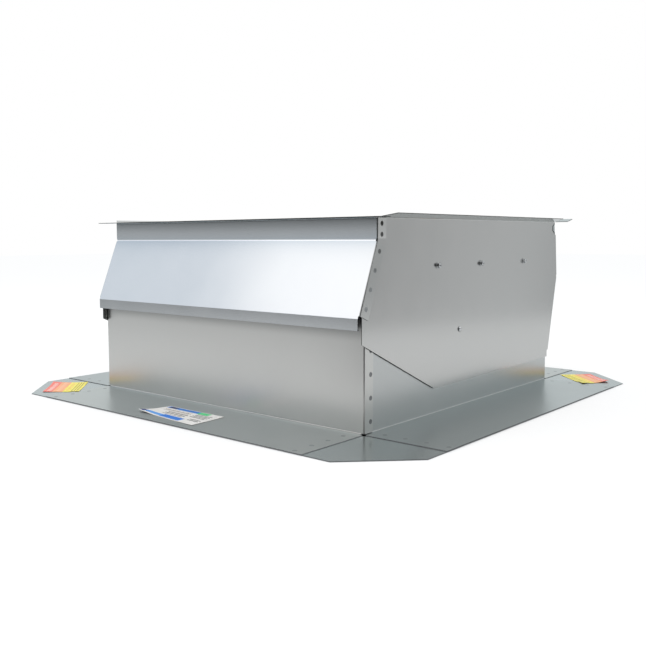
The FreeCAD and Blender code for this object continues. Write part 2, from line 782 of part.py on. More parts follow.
NOTCH_BOTTOM = TOP_UNDER - size("notch_height")
TAB_FOOT = size("rear_bottom") + size("tab_foot")
LOWER_LENGTH = (REAR_FOLD[1] - REAR_BOTTOM[1]) / cosine(REAR_LOWER_LEAN)


def rear_y(height, depth):
    """The hood's upper rear face at a height, moved in by depth."""
    return REAR_TOP[0] + (TOP - height) * tangent(REAR_UPPER_LEAN) - depth / cosine(REAR_UPPER_LEAN)


def rear_fold(depth):
    """The rear fold, moved in by depth."""
    spread = cosine((REAR_LOWER_LEAN + REAR_UPPER_LEAN) / 2)
    turn = (REAR_UPPER_LEAN - REAR_LOWER_LEAN) / 2
    return (REAR_FOLD[0] - depth * cosine(turn) / spread, REAR_FOLD[1] - depth * sine(turn) / spread)


def rear_face_sketch(body, name, upper, depth):
    """A sketch on a leaning rear face moved in by depth. Its zero height is at the rear fold."""
    lean = REAR_UPPER_LEAN if upper else -REAR_LOWER_LEAN
    along = REAR_FOLD[1] - depth * sine(lean)
    height = depth * cosine(lean) - REAR_FOLD[0]
    return new_sketch(body, name, "XZ_Plane", height, along, lean)


def rear_weld_steps(upper):
    """Weld places on a rear tab, measured up the leaning face from the rear fold."""
    if upper:
        usable = (NOTCH_BOTTOM - REAR_FOLD[1]) / cosine(REAR_UPPER_LEAN)
        return [usable * share for share in (0.15, 0.5, 0.85)]
    usable = (REAR_FOLD[1] - TAB_FOOT) / cosine(REAR_LOWER_LEAN)
    return [-(usable * share) for share in (0.1, 0.37, 0.63, 0.9)]


def rear_flange_crown(wall_y, lean):
    """Height of the sharp edge where the rear wall's inner face meets the flange's upper face."""
    slope = tangent(lean)
    wall_slope = tangent(REAR_UPPER_LEAN)
    start = REAR_TOP[0] + TOP * wall_slope - SHEET * 2 / cosine(REAR_UPPER_LEAN)
    return (TOP_UNDER + (start - wall_y) * slope + SHEET / cosine(lean)) / (wall_slope * slope + 1)


def hood_rear_panel():
    """Top flange and rear wall that leans out, then back in towards the neck, with a hemmed foot."""
    body = new_body("hood_rear_panel")
    half = CHEEK_IN - BEND
    wall_y = rear_y(TOP_UNDER, SHEET)
    flange_y = REAR_TOP[0] + size("overhang")
    rear_tip = FLANGE_TIP
    rear_lean = slope_angle(size("flange_lift"), flange_y - wall_y)
    bottom = (
        REAR_BOTTOM[0] - SHEET * cosine(REAR_LOWER_LEAN),
        REAR_BOTTOM[1] + SHEET * sine(REAR_LOWER_LEAN),
    )
    section = new_sketch(body, "section", "YZ_Plane", -half)
    bent_strip(section, [bottom, rear_fold(SHEET), (wall_y, TOP_UNDER), (flange_y, rear_tip)])
    pad(body, "rear", section, half * 2)
    crown = rear_flange_crown(wall_y, rear_lean)
    outer_top = (0, rear_y(crown, SHEET * 2), crown)
    round_bend(body, "top_bend", X_DIRECTION, [(0, wall_y, TOP_UNDER)], [outer_top])
    round_bend(
        body, "fold_bend", X_DIRECTION, [(0, *rear_fold(SHEET * 2))], [(0, *rear_fold(SHEET))]
    )
    tip_start = (wall_y + BEND, TOP_UNDER + BEND * tangent(rear_lean))
    for side in (LEFT, RIGHT):
        slab(
            body,
            "flange_tip_%s" % SIDE_NAMES[side],
            side,
            half - size("relief"),
            FLANGE_X,
            lambda sketch: bent_strip(sketch, [tip_start, (flange_y, rear_tip)]),
        )
    hem_half = CHEEK_OUT - size("tab_width") - size("relief")
    hem = rear_face_sketch(body, "hem_plan", False, as_size(0.0))
    rectangle(hem, -hem_half, hem_half, -LOWER_LENGTH, size("hem") - LOWER_LENGTH)
    pad(body, "hem", hem, SHEET)
    top = TOP_UNDER - size("ear_drop")
    foot = top - size("ear_height")
    ear_out = half + BEND / 2
    relief = size("relief")

    def rear_place(height, depth):
        """A point of the leaning upper wall: its outer face at a height, then straight in."""
        return (
            rear_y(height, SHEET) - depth * cosine(REAR_UPPER_LEAN),
            height - depth * sine(REAR_UPPER_LEAN),
        )

    def ear_outline(sketch):
        reach = size("ear_depth") + SHEET
        polygon(
            sketch,
            [
                rear_place(foot, as_size(0.0)),
                rear_place(foot, reach - relief),
                rear_place(foot + relief, reach),
                rear_place(top - relief, reach),
                rear_place(top, reach - relief),
                rear_place(top, as_size(0.0)),
            ],
        )

    def ear_gaps(sketch):
        for low, high in ((foot - relief / 2, foot), (top, top + relief / 2)):
            polygon(
                sketch,
                [
                    rear_place(low, -SHEET),
                    rear_place(low, SHEET * 2),
                    rear_place(high, SHEET * 2),
                    rear_place(high, -SHEET),
                ],
            )

    for side in (LEFT, RIGHT):
        name = SIDE_NAMES[side]
        slab(body, "ear_%s" % name, side, ear_out - SHEET, ear_out, ear_outline)
        slab_cut(body, "ear_gaps_%s" % name, side, half - relief, FLANGE_X, ear_gaps)
    round_bend(
        body,
        "ear_bend",
        FreeCAD.Vector(0, -sine(REAR_UPPER_LEAN).number, cosine(REAR_UPPER_LEAN).number),
        [((ear_out - SHEET) * side, *rear_place(foot, SHEET)) for side in (LEFT, RIGHT)],
        [(ear_out * side, *rear_place(foot, as_size(0.0))) for side in (LEFT, RIGHT)],
    )
    return body


FRONT_GAP = (SHEET + BEND) / cosine(FRONT_LEAN)
CHEEK_FRONT = BAND_Y + FRONT_GAP
STRIP_REAR = REAR_TOP[0] - size("relief")


def cheek_outline(sketch):
    """Outline of a side panel inside a larger rectangle, so that what lies between is cut away."""
    relief = size("relief")
    step = LIP_TOP + size("cheek_step")
    margin = size("overhang")
    rectangle(
        sketch,
        LIP_Y - margin,
        REAR_FOLD[0] + margin,
        size("tip_height") - margin,
        TOP + margin,
    )
    polygon(
        sketch,
        [
            (CHEEK_FRONT, FLANGE_TIP + relief),
            (CHEEK_FRONT, FOLD),
            (slope_y(step) + FRONT_GAP, step),
            (NECK_FRONT - size("cheek_reach"), step),
            (NECK_FRONT - size("cheek_reach"), size("cheek_corner")),
            (NECK_FRONT + size("tip_setback"), size("tip_height")),
            REAR_BOTTOM,
            REAR_FOLD,
            (rear_y(NOTCH_BOTTOM, as_size(0.0)), NOTCH_BOTTOM),
            (STRIP_REAR, NOTCH_BOTTOM),
            (REAR_TOP[0] - size("notch_depth"), NOTCH_BOTTOM + relief * 2),
            (REAR_TOP[0] - size("notch_depth"), TOP_UNDER - relief * 2),
            (STRIP_REAR, TOP_UNDER),
            (STRIP_REAR, FLANGE_TIP + relief),
        ],
    )


def hood_side_panel(side):
    """Cheek plate with a V bottom, its top flange, its rear tabs and a notched upper rear corner."""
    body = new_body("hood_%s_panel" % SIDE_NAMES[side])
    relief = size("relief")
    section = new_sketch(body, "section", "XZ_Plane", -REAR_FOLD[0])
    corners = [
        (CHEEK_OUT * side, size("tip_height")),
        (CHEEK_OUT * side, TOP_UNDER),
        (FLANGE_X * side, FLANGE_TIP),
    ]
    bent_strip(section, corners if side == RIGHT else corners[::-1])
    pad(body, "cheek", section, REAR_FOLD[0] - NECK_FRONT + size("cheek_reach"))
    round_bend(
        body,
        "top_bend",
        Y_DIRECTION,
        [(CHEEK_OUT * side, 0, TOP_UNDER)],
        [(CHEEK_IN * side, 0, TOP_UNDER + SHEET / cosine(FLANGE_LEAN) - SHEET * tangent(FLANGE_LEAN))],
    )
    outline = new_sketch(body, "outline", "YZ_Plane")
    cheek_outline(outline)
    cut_through(body, "trim", outline)
    mitre = new_sketch(body, "mitre_plan", "XY_Plane", TOP_UNDER - BEND)
    reach = size("mitre_reach") * (size("overhang") + relief) / size("overhang")
    for start, way in ((CHEEK_FRONT, 1), (STRIP_REAR, -1)):
        polygon(
            mitre,
            [
                (CHEEK_OUT * side, start),
                ((FLANGE_X + relief) * side, start + reach * way),
                ((FLANGE_X + relief) * side, start - relief * way),
                (CHEEK_OUT * side, start - relief * way),
            ],
        )
    cut_up(body, "mitre", mitre, BEND + SHEET + size("flange_lift") + relief)

    def tab_section(sketch):
        top = (rear_y(NOTCH_BOTTOM + relief, as_size(0.0)), NOTCH_BOTTOM + relief)
        bent_strip(sketch, [REAR_BOTTOM, REAR_FOLD, top])

    slab(body, "rear_tab", side, CHEEK_OUT - size("tab_width"), CHEEK_OUT, tab_section)
    gaps = new_sketch(body, "tab_gap_plan", "YZ_Plane")
    far = REAR_FOLD[0] + relief
    edge = SHEET + BEND * 2
    rectangle(gaps, REAR_BOTTOM[0] - edge, far, size("rear_bottom") - relief, TAB_FOOT)
    rectangle(gaps, REAR_FOLD[0] - edge, far, REAR_FOLD[1] - relief / 2, REAR_FOLD[1] + relief / 2)
    rectangle(gaps, STRIP_REAR, far, NOTCH_BOTTOM, NOTCH_BOTTOM + relief * 2)
    cut_through(body, "tab_gaps", gaps)
    leans = (("upper", -REAR_UPPER_LEAN), ("lower", REAR_LOWER_LEAN))
    for name, lean in leans:
        round_bend(
            body,
            "%s_tab_bend" % name,
            FreeCAD.Vector(0, sine(lean).number, cosine(lean).number),
            [(CHEEK_IN * side, REAR_FOLD[0] - SHEET / cosine(lean), REAR_FOLD[1])],
            [(CHEEK_OUT * side, *REAR_FOLD)],
        )
    screw_holes = new_sketch(body, "screw_hole_plan", "YZ_Plane")
    circles(screw_holes, LOCKS, SHANK_RADIUS + size("screw_fit"))
    circles(screw_holes, [PIVOT], SHANK_RADIUS + size("pivot_fit"))
    cut_through(body, "screw_holes", screw_holes)
    return body


# Screws, nuts and welds


def screws(label, side, places, seat):
    """Hexagon head sheet-metal screws with a washer face, their heads seated at seat."""
    body = new_body(label)
    washer_top = seat + size("washer_thick")
    slab(body, "washer", side, seat, washer_top, lambda s: circles(s, places, size("washer_dia") / 2))
    crown = washer_top + size("hex_height")
    corner = size("hex_across") / 2 / cosine(as_size(30.0))
    slab(body, "hexagon", side, washer_top, crown, lambda s: regular_shapes(s, places, corner, 6))
    tip = seat - size("shank_length")
    slab(body, "shank", side, tip, seat, lambda s: circles(s, places, SHANK_RADIUS))
    doc.recompute()
    base = body.Tip
    plane = (crown * side).number
    names = []
    for number, face in enumerate(base.Shape.Faces, start=1):
        if abs(face.BoundBox.XMin - plane) < 1e-4 and abs(face.BoundBox.XMax - plane) < 1e-4:
            names.append("Face%d" % number)
    feature = body.newObject("PartDesign::Chamfer", "crown")
    feature.Base = (base, names)
    bind(feature, "Size", size("hex_edge"))
    return body


def pan_screw(label, side, place, seat):
    """Round head screw that the hood turns on, its head seated at seat."""
    body = new_body(label)
    crown = seat + size("pan_height")
    slab(body, "head", side, seat, crown, lambda s: circles(s, [place], size("pan_dia") / 2))
    tip = seat - size("shank_length")
    slab(body, "shank", side, tip, seat, lambda s: circles(s, [place], SHANK_RADIUS))
    doc.recompute()
    base = body.Tip
    plane = (crown * side).number
    names = []
    for number, edge in enumerate(base.Shape.Edges, start=1):
        if abs(edge.BoundBox.XMin - plane) < 1e-4 and abs(edge.BoundBox.XMax - plane) < 1e-4:
            names.append("Edge%d" % number)
    feature = body.newObject("PartDesign::Fillet", "crown")
    feature.Base = (base, names)
    bind(feature, "Radius", size("pan_edge"))
    return body


def spring_nuts(label, side, places, seat):
    """Flat spring nuts, arched in the middle, whose feet lie against seat on the inner side."""
    body = new_body(label)
    half_wide = size("nut_width") / 2
    half_tall = size("nut_depth") / 2
    raised = (seat - size("nut_arch")) * side
    flat = seat * side
    for number, (along, up) in enumerate(places, start=1):
        section = new_sketch(body, "section_%d" % number, "XZ_Plane", -(along + half_wide))
        foot = half_tall - size("nut_foot")
        line = [
            (flat, up - half_tall),
            (flat, up - foot),
            (raised, up - size("nut_arch_width") / 2),
            (raised, up + size("nut_arch_width") / 2),
            (flat, up + foot),
            (flat, up + half_tall),
        ]
        bent_strip(section, line[::side], thickness=size("nut_thick"))
        pad(body, "nut_%d" % number, section, size("nut_width"))
    bore = new_sketch(body, "bore_plan", "YZ_Plane")
    circles(bore, places, SHANK_RADIUS + size("screw_fit"))
    cut_through(body, "bore", bore)
    return body


def weld_group(label, places):
    """Weld buttons, each a twelve-sided disc at a point of the sheet's outer face, turned about an
    axis by an angle so that it stands on that face."""
    discs = []
    for number, (point, axis, angle) in enumerate(places, start=1):
        disc = doc.addObject("Part::Prism", "%s_%d" % (label, number))
        disc.Polygon = 12
        bind(disc, "Circumradius", size("weld_dia") / 2)
        bind(disc, "Height", size("weld_rise"))
        disc.Placement = FreeCAD.Placement(FreeCAD.Vector(0, 0, 0), FreeCAD.Rotation(axis, 1.0))
        bind(disc, "Placement.Rotation.Angle", angle)
        for name, value in zip("xyz", point):
            bind(disc, "Placement.Base." + name, value)
        discs.append(disc)
    group = doc.addObject("Part::Compound", label)
    group.Label = label
    group.Links = discs
    return group


def side_welds(label, places, seat):
    """Weld buttons on the front tabs of both sides."""
    spots = [(seat * side, *place) for side in (LEFT, RIGHT) for place in places]
    axes = [as_size(90.0 if point[0].number > 0 else -90.0) for point in spots]
    return weld_group(label, [(point, Y_DIRECTION, turn) for point, turn in zip(spots, axes)])


def neck_rear_welds():
    """Weld buttons on the tabs that the side panels turn round the neck's rear wall."""
    seat = HALF_D + SHEET
    spots = [(across, seat, up) for across, up in NECK_REAR_WELDS]
    return weld_group("welds_neck_rear", [(point, X_DIRECTION, as_size(-90.0)) for point in spots])


def flashing_welds():
    """Weld buttons on the laps of the flashing strips over the corner plates."""
    plan = strip_welds_along_x(FRONT) + strip_welds_along_x(REAR)
    plan += strip_welds_along_y(LEFT) + strip_welds_along_y(RIGHT)
    spots = [(across, along, STRIP_TOP) for across, along in plan]
    return weld_group("welds_flashing", [(point, X_DIRECTION, as_size(0.0)) for point in spots])


def hood_rear_welds():
    """Weld buttons on the upper and lower rear tabs of the hood's side panels."""
    places = []
    rows = ((REAR_UPPER_LEAN, rear_weld_steps(True)), (-REAR_LOWER_LEAN, rear_weld_steps(False)))
    for lean, steps in rows:
        for side in (LEFT, RIGHT):
            across = (CHEEK_OUT - size("tab_width") / 2) * side
            for step in steps:
                point = (across, REAR_FOLD[0] - step * sine(lean), REAR_FOLD[1] + step * cosine(lean))
                places.append((point, X_DIRECTION, lean - 90.0))
    return weld_group("welds_hood_rear", places)


def build():
    """Every piece, neck first, then the hood."""
    bodies = [neck_front_panel(), neck_rear_panel()]
    for side in (LEFT, RIGHT):
        bodies.append(neck_side_panel(side))
    for end in (FRONT, REAR):
        for side in (LEFT, RIGHT):
            bodies.append(flashing_corner(end, side))
    bodies += [hood_front_panel(), hood_rear_panel()]
    for side in (LEFT, RIGHT):
        name = SIDE_NAMES[side]
        wall_in = HALF_W - SHEET
        bodies.append(hood_side_panel(side))
        bodies.append(pan_screw("pivot_screw_%s" % name, side, PIVOT, CHEEK_OUT + size("pivot_play")))
        bodies.append(spring_nuts("pivot_nut_%s" % name, side, [PIVOT], wall_in))
        bodies.append(screws("lock_screws_%s" % name, side, LOCKS, CHEEK_OUT))
        bodies.append(spring_nuts("lock_nuts_%s" % name, side, LOCKS, wall_in - size("nut_gap")))
    bodies.append(side_welds("welds_neck_front", NECK_FRONT_WELDS, HALF_W + SHEET))
    bodies.append(neck_rear_welds())
    bodies.append(flashing_welds())
    bodies.append(side_welds("welds_hood_front", HOOD_FRONT_WELDS, TAB_OUT))
    bodies.append(hood_rear_welds())
    return bodies


def check(bodies):
    """Stop if an object failed or a piece is not a valid solid."""
    doc.recompute()
    for item in doc.Objects:
        if "Invalid" in item.State or "Error" in item.State:
            raise RuntimeError("%s (%s) failed: %s" % (item.Label, item.Name, item.State))
    for body in bodies:
        if body.Shape.isNull() or not body.Shape.isValid() or not body.Shape.Solids:
            raise RuntimeError("%s is not a valid solid" % body.Label)


def write(bodies):
    os.makedirs("parts", exist_ok=True)
    for body in bodies:
        shape = body.Shape
        shape.exportStep("parts/%s.step" % body.Label)
        print("%-30s %2d solids %10.2f mm3" % (body.Label, len(shape.Solids), shape.Volume))


pieces = build()
check(pieces)
write(pieces)
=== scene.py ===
"""Looks of a galvanised roof jack: finishes, fasteners, spot welds, stickers, studio and camera.

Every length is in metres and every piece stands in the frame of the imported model.
"""

import logging
import math
from collections.abc import Callable, Iterable
from dataclasses import dataclass
from enum import Enum

import bmesh
import bpy
import numpy as np
from mathutils import Matrix, Vector, kdtree, noise


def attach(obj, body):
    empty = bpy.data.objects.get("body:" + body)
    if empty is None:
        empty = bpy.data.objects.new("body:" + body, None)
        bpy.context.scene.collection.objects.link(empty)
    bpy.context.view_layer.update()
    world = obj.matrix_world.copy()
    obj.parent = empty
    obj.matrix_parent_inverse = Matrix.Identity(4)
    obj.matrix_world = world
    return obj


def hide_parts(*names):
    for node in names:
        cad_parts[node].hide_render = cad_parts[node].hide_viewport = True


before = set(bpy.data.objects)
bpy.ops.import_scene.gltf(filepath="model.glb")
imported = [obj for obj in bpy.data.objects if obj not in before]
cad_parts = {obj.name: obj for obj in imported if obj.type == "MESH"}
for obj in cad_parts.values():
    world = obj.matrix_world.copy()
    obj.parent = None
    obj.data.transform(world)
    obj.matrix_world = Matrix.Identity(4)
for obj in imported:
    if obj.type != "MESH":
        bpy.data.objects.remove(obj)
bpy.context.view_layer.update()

MM = 0.001
CUT_EDGE = "cut_edge"
# The inputs of a Mix node that mixes colours.
SHARE, FIRST, SECOND = 0, 6, 7
Tree, Node, Socket = bpy.types.NodeTree, bpy.types.Node, bpy.types.NodeSocket
Shape, Corner = bmesh.types.BMesh, bmesh.types.BMVert
Piece, Material = bpy.types.Object, bpy.types.Material
log = logging.getLogger("roof_jack")


class Side(Enum):
    """Which side of the roof jack a piece is on, with the sign of its X."""

    LEFT = -1.0
    RIGHT = 1.0

    @property
    def word(self) -> str:
        """The side's name as the nodes have it."""
        return self.name.lower()


class Grain(Enum):
    """The axes across which the rolling lines of a sheet change."""

    ACROSS_X = (1.0, 0.0, 0.0)
    ACROSS_Y = (0.0, 1.0, 0.0)
    ACROSS_YZ = (0.0, 1.0, 1.0)


def linear(code: str) -> tuple[float, float, float, float]:
    """Turns an sRGB hex colour into linear light.

    Args:
        code: the colour as #RRGGBB.

    Returns:
        Red, green, blue and an alpha of 1.
    """
    parts = [int(code[i : i + 2], 16) / 255 for i in (1, 3, 5)]
    light = [p / 12.92 if p <= 0.04045 else ((p + 0.055) / 1.055) ** 2.4 for p in parts]
    return (light[0], light[1], light[2], 1.0)


def add_node(
    tree: Tree, kind: str, inputs: dict[str | int, object] | None = None, **settings: object
) -> Node:
    """Adds one node with its settings, socket values and incoming links.

    Args:
        tree: the node tree that gets the node.
        kind: the node's type name, without ShaderNode.
        inputs: by name or number, a value, or a socket to link, or a node to link, which
            stands for its first live output.
        settings: the node's own properties.

    Returns:
        The new node.
    """
    node = tree.nodes.new(f"ShaderNode{kind}")
    for name, value in settings.items():
        setattr(node, name, value)
    for key, source in (inputs or {}).items():
        if isinstance(source, Node):
            source = next(socket for socket in source.outputs if socket.enabled)
        if isinstance(source, Socket):
            tree.links.new(source, node.inputs[key])
        else:
            node.inputs[key].default_value = source
    return node


def seen_rays(tree: Tree) -> Node:
    """Tells the rays that look from those that only carry light.

    Args:
        tree: the node tree of a material or the world.

    Returns:
        A node that is 1 for camera, glossy and transmission rays.
    """
    path = add_node(tree, "LightPath").outputs
    seen = path["Is Camera Ray"]
    for kind in ("Is Glossy Ray", "Is Transmission Ray"):
        seen = add_node(tree, "Math", {0: seen, 1: path[kind]}, operation="MAXIMUM")
    return seen


def is_soft(edge: bmesh.types.BMEdge, limit: float) -> bool:
    """Whether the two faces at an edge turn by less than the limit."""
    return len(edge.link_faces) == 2 and edge.calc_face_angle(0.0) < limit


def new_piece(name: str, shape: Shape, material: Material, smooth_below: float = 35.0) -> Piece:
    """Turns a bmesh into a shaded object in the scene.

    Args:
        name: the piece's name.
        shape: the geometry, freed here.
        material: its finish.
        smooth_below: edges flatter than this many degrees are shaded smooth.

    Returns:
        The new object.
    """
    bmesh.ops.recalc_face_normals(shape, faces=shape.faces)
    limit = math.radians(smooth_below)
    for face in shape.faces:
        face.smooth = True
    for edge in shape.edges:
        edge.smooth = is_soft(edge, limit)
    mesh = bpy.data.meshes.new(name)
    shape.to_mesh(mesh)
    shape.free()
    mesh.materials.append(material)
    piece = bpy.data.objects.new(name, mesh)
    bpy.context.scene.collection.objects.link(piece)
    return piece


@dataclass(frozen=True)
class Finish:
    """A named surface. Each kind of finish builds its own shader."""

    name: str

    def shader(self, tree: Tree) -> Node:
        """Adds the finish's nodes and returns the shader at their end."""
        raise NotImplementedError

    def material(self) -> Material:
        """Builds the node material.

        Returns:
            The finished material.
        """
        material = bpy.data.materials.new(self.name)
        material.use_nodes = True
        tree = material.node_tree
        tree.nodes.clear()
        add_node(tree, "OutputMaterial", {"Surface": self.shader(tree)})
        return material


@dataclass(frozen=True)
class GalvanizedSteel(Finish):
    """Hot-dip galvanised sheet, skin-passed between rolls after the zinc bath, then sheared.

    The bath leaves faint frosty crystals in the zinc, the rolls flatten them into a satin skin
    with fine lines along the strip, and folding leaves the flats very slightly wavy. To the eye
    that is a soft grey mirror: reflections blur into broad bands, and they wander a little.
    Shears cut through the coat, so the narrow edges show bare, dull, darker steel; a near-black
    edge is that steel and also painted shade of the gap beside it. A soft fold turns the flats
    beside it, so a paler reflection runs into it. A bluish darkening along a fold is painted
    shade, a bright line on a fold is a painted highlight, and a darker strip below a flange or
    lip is painted shade.
    """

    zinc: str = "#B3B6B6"
    frost: str = "#BCBEBE"
    graze: tuple[float, float, float] = (0.79, 0.86, 0.87)
    sheared: str = "#4F4E4C"
    grain: Grain = Grain.ACROSS_X
    roughness: float = 0.24
    spread: float = 0.03
    cut_roughness: float = 0.55
    grain_pitch: float = 1.6 * MM
    grain_run: float = 250.0 * MM
    grain_rise: float = 0.0018 * MM
    spangle: float = 9.0 * MM
    cloud: float = 60.0 * MM
    wave: float = 170.0 * MM
    wave_rise: float = 0.35 * MM
    weights: tuple[float, float, float] = (0.06, 0.10, 0.84)
    fold_height: float = 0.0
    fold_reach: float = 10.0 * MM
    fold_rise: float = 0.0
    fold_power: float = 1.0
    # Painted shade: a bluish darkening along the fold, mixed in by the share below.
    fold_shade: str = "#617889"
    fold_shade_share: float = 0.0
    # Painted highlight: a bright line along the fold.
    fold_highlight: str = ""
    fold_highlight_height: float = 0.0
    fold_highlight_reach: float = 0.75 * MM
    # Painted shade: a darker strip below a flange or lip, darkest at its top.
    painted_shade: str = "#8D9193"
    shade_top: float = 0.0
    shade_depth: float = 17.0 * MM
    tab_zinc: str = ""

    @staticmethod
    def nearness(tree: Tree, height: Socket, centre: float, reach: float, power: float) -> Node:
        """How near a fold a point is: 1 on it, fading to 0.37 at reach.

        Args:
            tree: the material's node tree.
            height: how high the point stands.
            centre: how high the fold stands.
            reach: how far it fades.
            power: 1 for a pointed fade, 2 for a round one.

        Returns:
            The nearness.
        """
        near = add_node(tree, "Math", {0: height, 1: centre}, operation="SUBTRACT")
        for operation, other in (
            ("ABSOLUTE", 0.0), ("DIVIDE", reach), ("POWER", power), ("MULTIPLY", -1.0),
            ("EXPONENT", 0.0),
        ):
            near = add_node(tree, "Math", {0: near, 1: other}, operation=operation)
        return near

    def overlays(self, tree: Tree, height: Socket, near: Node) -> list[tuple[Node | Socket, str]]:
        """Lists the layers mixed over the zinc, from the lowest up: painted shade below a flange
        or lip, painted shade along the fold, a painted highlight on the fold, and the tabs' own
        zinc.

        Args:
            tree: the material's node tree.
            height: how high the point stands.
            near: how near the fold it is.

        Returns:
            Where each coat lies, from 0 to 1, and its colour.
        """
        found = []
        # Painted shade below a flange or lip.
        if self.shade_top:
            low, high = self.shade_top - self.shade_depth, self.shade_top
            strip = {"Value": height, "From Min": low, "From Max": high}
            shaded = add_node(tree, "MapRange", strip, interpolation_type="SMOOTHSTEP")
            found.append((shaded, self.painted_shade))
        # Painted shade along the fold.
        if self.fold_shade_share:
            fold_shade_mask = add_node(tree, "Math", {0: near, 1: self.fold_shade_share}, operation="MULTIPLY")
            found.append((fold_shade_mask, self.fold_shade))
        # Painted highlight along the fold.
        if self.fold_highlight:
            line = self.nearness(tree, height, self.fold_highlight_height, self.fold_highlight_reach, 2.0)
            found.append((line, self.fold_highlight))
        if self.tab_zinc:
            # Faces are mixed toward tab_zinc as they turn to point left or right, as the tabs do.
            facing = add_node(tree, "TexCoord").outputs["Normal"]
            sideways = add_node(tree, "SeparateXYZ", {0: facing}).outputs["X"]
            tabs = add_node(tree, "Math", {0: sideways}, operation="ABSOLUTE")
            found.append((tabs, self.tab_zinc))
        return found

    def shader(self, tree: Tree) -> Node:
        """Builds the sheet's metal.

        Args:
            tree: the material's node tree.

        Returns:
            The shader.
        """
        place = add_node(tree, "TexCoord").outputs["Object"]
        height = add_node(tree, "SeparateXYZ", {0: place}).outputs["Z"]
        cells = {"Vector": place, "Scale": 1 / self.spangle, "Randomness": 1.0}
        crystals = add_node(tree, "TexVoronoi", cells, feature="F1")
        # Real rolling lines are a few hundredths of a millimetre apart. They are drawn at
        # grain_pitch, which is just wide enough to show in a picture of the whole roof jack.
        stretch = Vector(self.grain.value) / self.grain_pitch + Vector((1, 1, 1)) / self.grain_run
        strip = add_node(tree, "Mapping", {"Vector": place, "Scale": tuple(stretch)})
        lines, clouds, waves = (
            add_node(tree, "TexNoise", dict(zip(("Vector", "Scale", "Detail", "Roughness"), row)))
            for row in (
                (strip, 1.0, 1.5, 0.6),
                (place, 1 / self.cloud, 3.0, 0.55),
                (place, 1 / self.wave, 0.5, 0.3),
            )
        )
        # The tone is a weighted sum: a trace of crystals, few rolling lines, mostly clouds.
        trace, few, most = self.weights
        part = {0: crystals.outputs["Color"], 1: trace}
        tone = add_node(tree, "Math", part, operation="MULTIPLY")
        for weight, pattern in ((few, lines), (most, clouds)):
            part = {0: pattern, 1: weight, 2: tone}
            tone = add_node(tree, "Math", part, operation="MULTIPLY_ADD", use_clamp=True)
        near = self.nearness(tree, height, self.fold_height, self.fold_reach, self.fold_power)
        marks = add_node(tree, "Attribute", attribute_type="GEOMETRY", attribute_name=CUT_EDGE)
        cut = marks.outputs["Fac"]
        layers = {SHARE: tone, FIRST: linear(self.zinc), SECOND: linear(self.frost)}
        skin = add_node(tree, "Mix", layers, data_type="RGBA")
        for mask, shade in (*self.overlays(tree, height, near), (cut, self.sheared)):
            layers = {SHARE: mask, FIRST: skin, SECOND: linear(shade)}
            skin = add_node(tree, "Mix", layers, data_type="RGBA")
        low, high = self.roughness - self.spread, self.roughness + self.spread
        span = {"Value": tone, "From Min": 0.3, "From Max": 0.7, "To Min": low, "To Max": high}
        layers = {SHARE: cut, 2: add_node(tree, "MapRange", span), 3: self.cut_roughness}
        dulled = add_node(tree, "Mix", layers, data_type="FLOAT")
        bent: dict[str, object] = {}
        for relief, rise in (
            (waves, self.wave_rise), (near, self.fold_rise), (lines, self.grain_rise)
        ):
            if rise:
                bump = {"Height": relief, "Strength": 1.0, "Distance": abs(rise), **bent}
                bent = {"Normal": add_node(tree, "Bump", bump, invert=rise < 0)}
        return add_node(tree, "BsdfPrincipled", {
            "Base Color": skin,
            "Metallic": 1.0,
            "Specular Tint": (*self.graze, 1.0),
            "Roughness": dulled,
            **bent,
        })


@dataclass(frozen=True)
class PlatedSteel(Finish):
    """Small steel part with a thin coat: zinc on the screws, dark phosphate on the nuts.

    The coat follows the cold-formed steel below, so the eye gets a tight bright or dark glint
    with a slight mottle where the barrel plating rubbed. The nooks are painted nearly black:
    painted shade. Scars with a fade are darker at the top and take the colour of the sheet
    from fade_high down.
    """

    coat: str
    rubbed: str
    roughness: float = 0.25
    mottle: float = 1.2 * MM
    pit_depth: float = 0.02 * MM
    nook_shade: str = "#141414"
    nook_depth: float = 2.0 * MM
    faded: str = "#94989A"
    fade_low: float = 0.0
    fade_high: float = 0.0

    def shader(self, tree: Tree) -> Node:
        """Builds the coated metal.

        Args:
            tree: the material's node tree.

        Returns:
            The shader.
        """
        place = add_node(tree, "TexCoord").outputs["Object"]
        speckle = {"Scale": 1 / self.mottle, "Detail": 3.0, "Roughness": 0.6}
        spots = add_node(tree, "TexNoise", {"Vector": place, **speckle})
        layers = {SHARE: spots, FIRST: linear(self.coat), SECOND: linear(self.rubbed)}
        coat = add_node(tree, "Mix", layers, data_type="RGBA")
        if self.fade_high:
            height = add_node(tree, "SeparateXYZ", {0: place}).outputs["Z"]
            span = {"Value": height, "From Min": self.fade_low, "From Max": self.fade_high}
            share = add_node(tree, "MapRange", span)
            layers = {SHARE: share, FIRST: linear(self.faded), SECOND: coat}
            coat = add_node(tree, "Mix", layers, data_type="RGBA")
        # Painted shade: where occlusion is deep, the colour goes to the near-black nook colour.
        nook = add_node(tree, "AmbientOcclusion", {"Distance": self.nook_depth}, samples=6)
        span = {"Value": nook.outputs["AO"], "From Min": 0.25, "From Max": 0.80}
        unshaded_nook = add_node(tree, "MapRange", span)
        layers = {SHARE: unshaded_nook, FIRST: linear(self.nook_shade), SECOND: coat}
        colour = add_node(tree, "Mix", layers, data_type="RGBA")
        low, high = self.roughness - 0.06, self.roughness + 0.10
        sheen = add_node(tree, "MapRange", {"Value": spots, "To Min": low, "To Max": high})
        pits = {"Height": spots, "Strength": 0.4, "Distance": self.pit_depth}
        return add_node(tree, "BsdfPrincipled", {
            "Base Color": colour,
            "Metallic": 1.0,
            "Roughness": sheen,
            "Normal": add_node(tree, "Bump", pits),
        })


@dataclass(frozen=True)
class Block:
    """One printed rectangle of a sticker, in shares of its length and width."""

    ink: str
    low: tuple[float, float]
    high: tuple[float, float]
    lines: float = 0.0


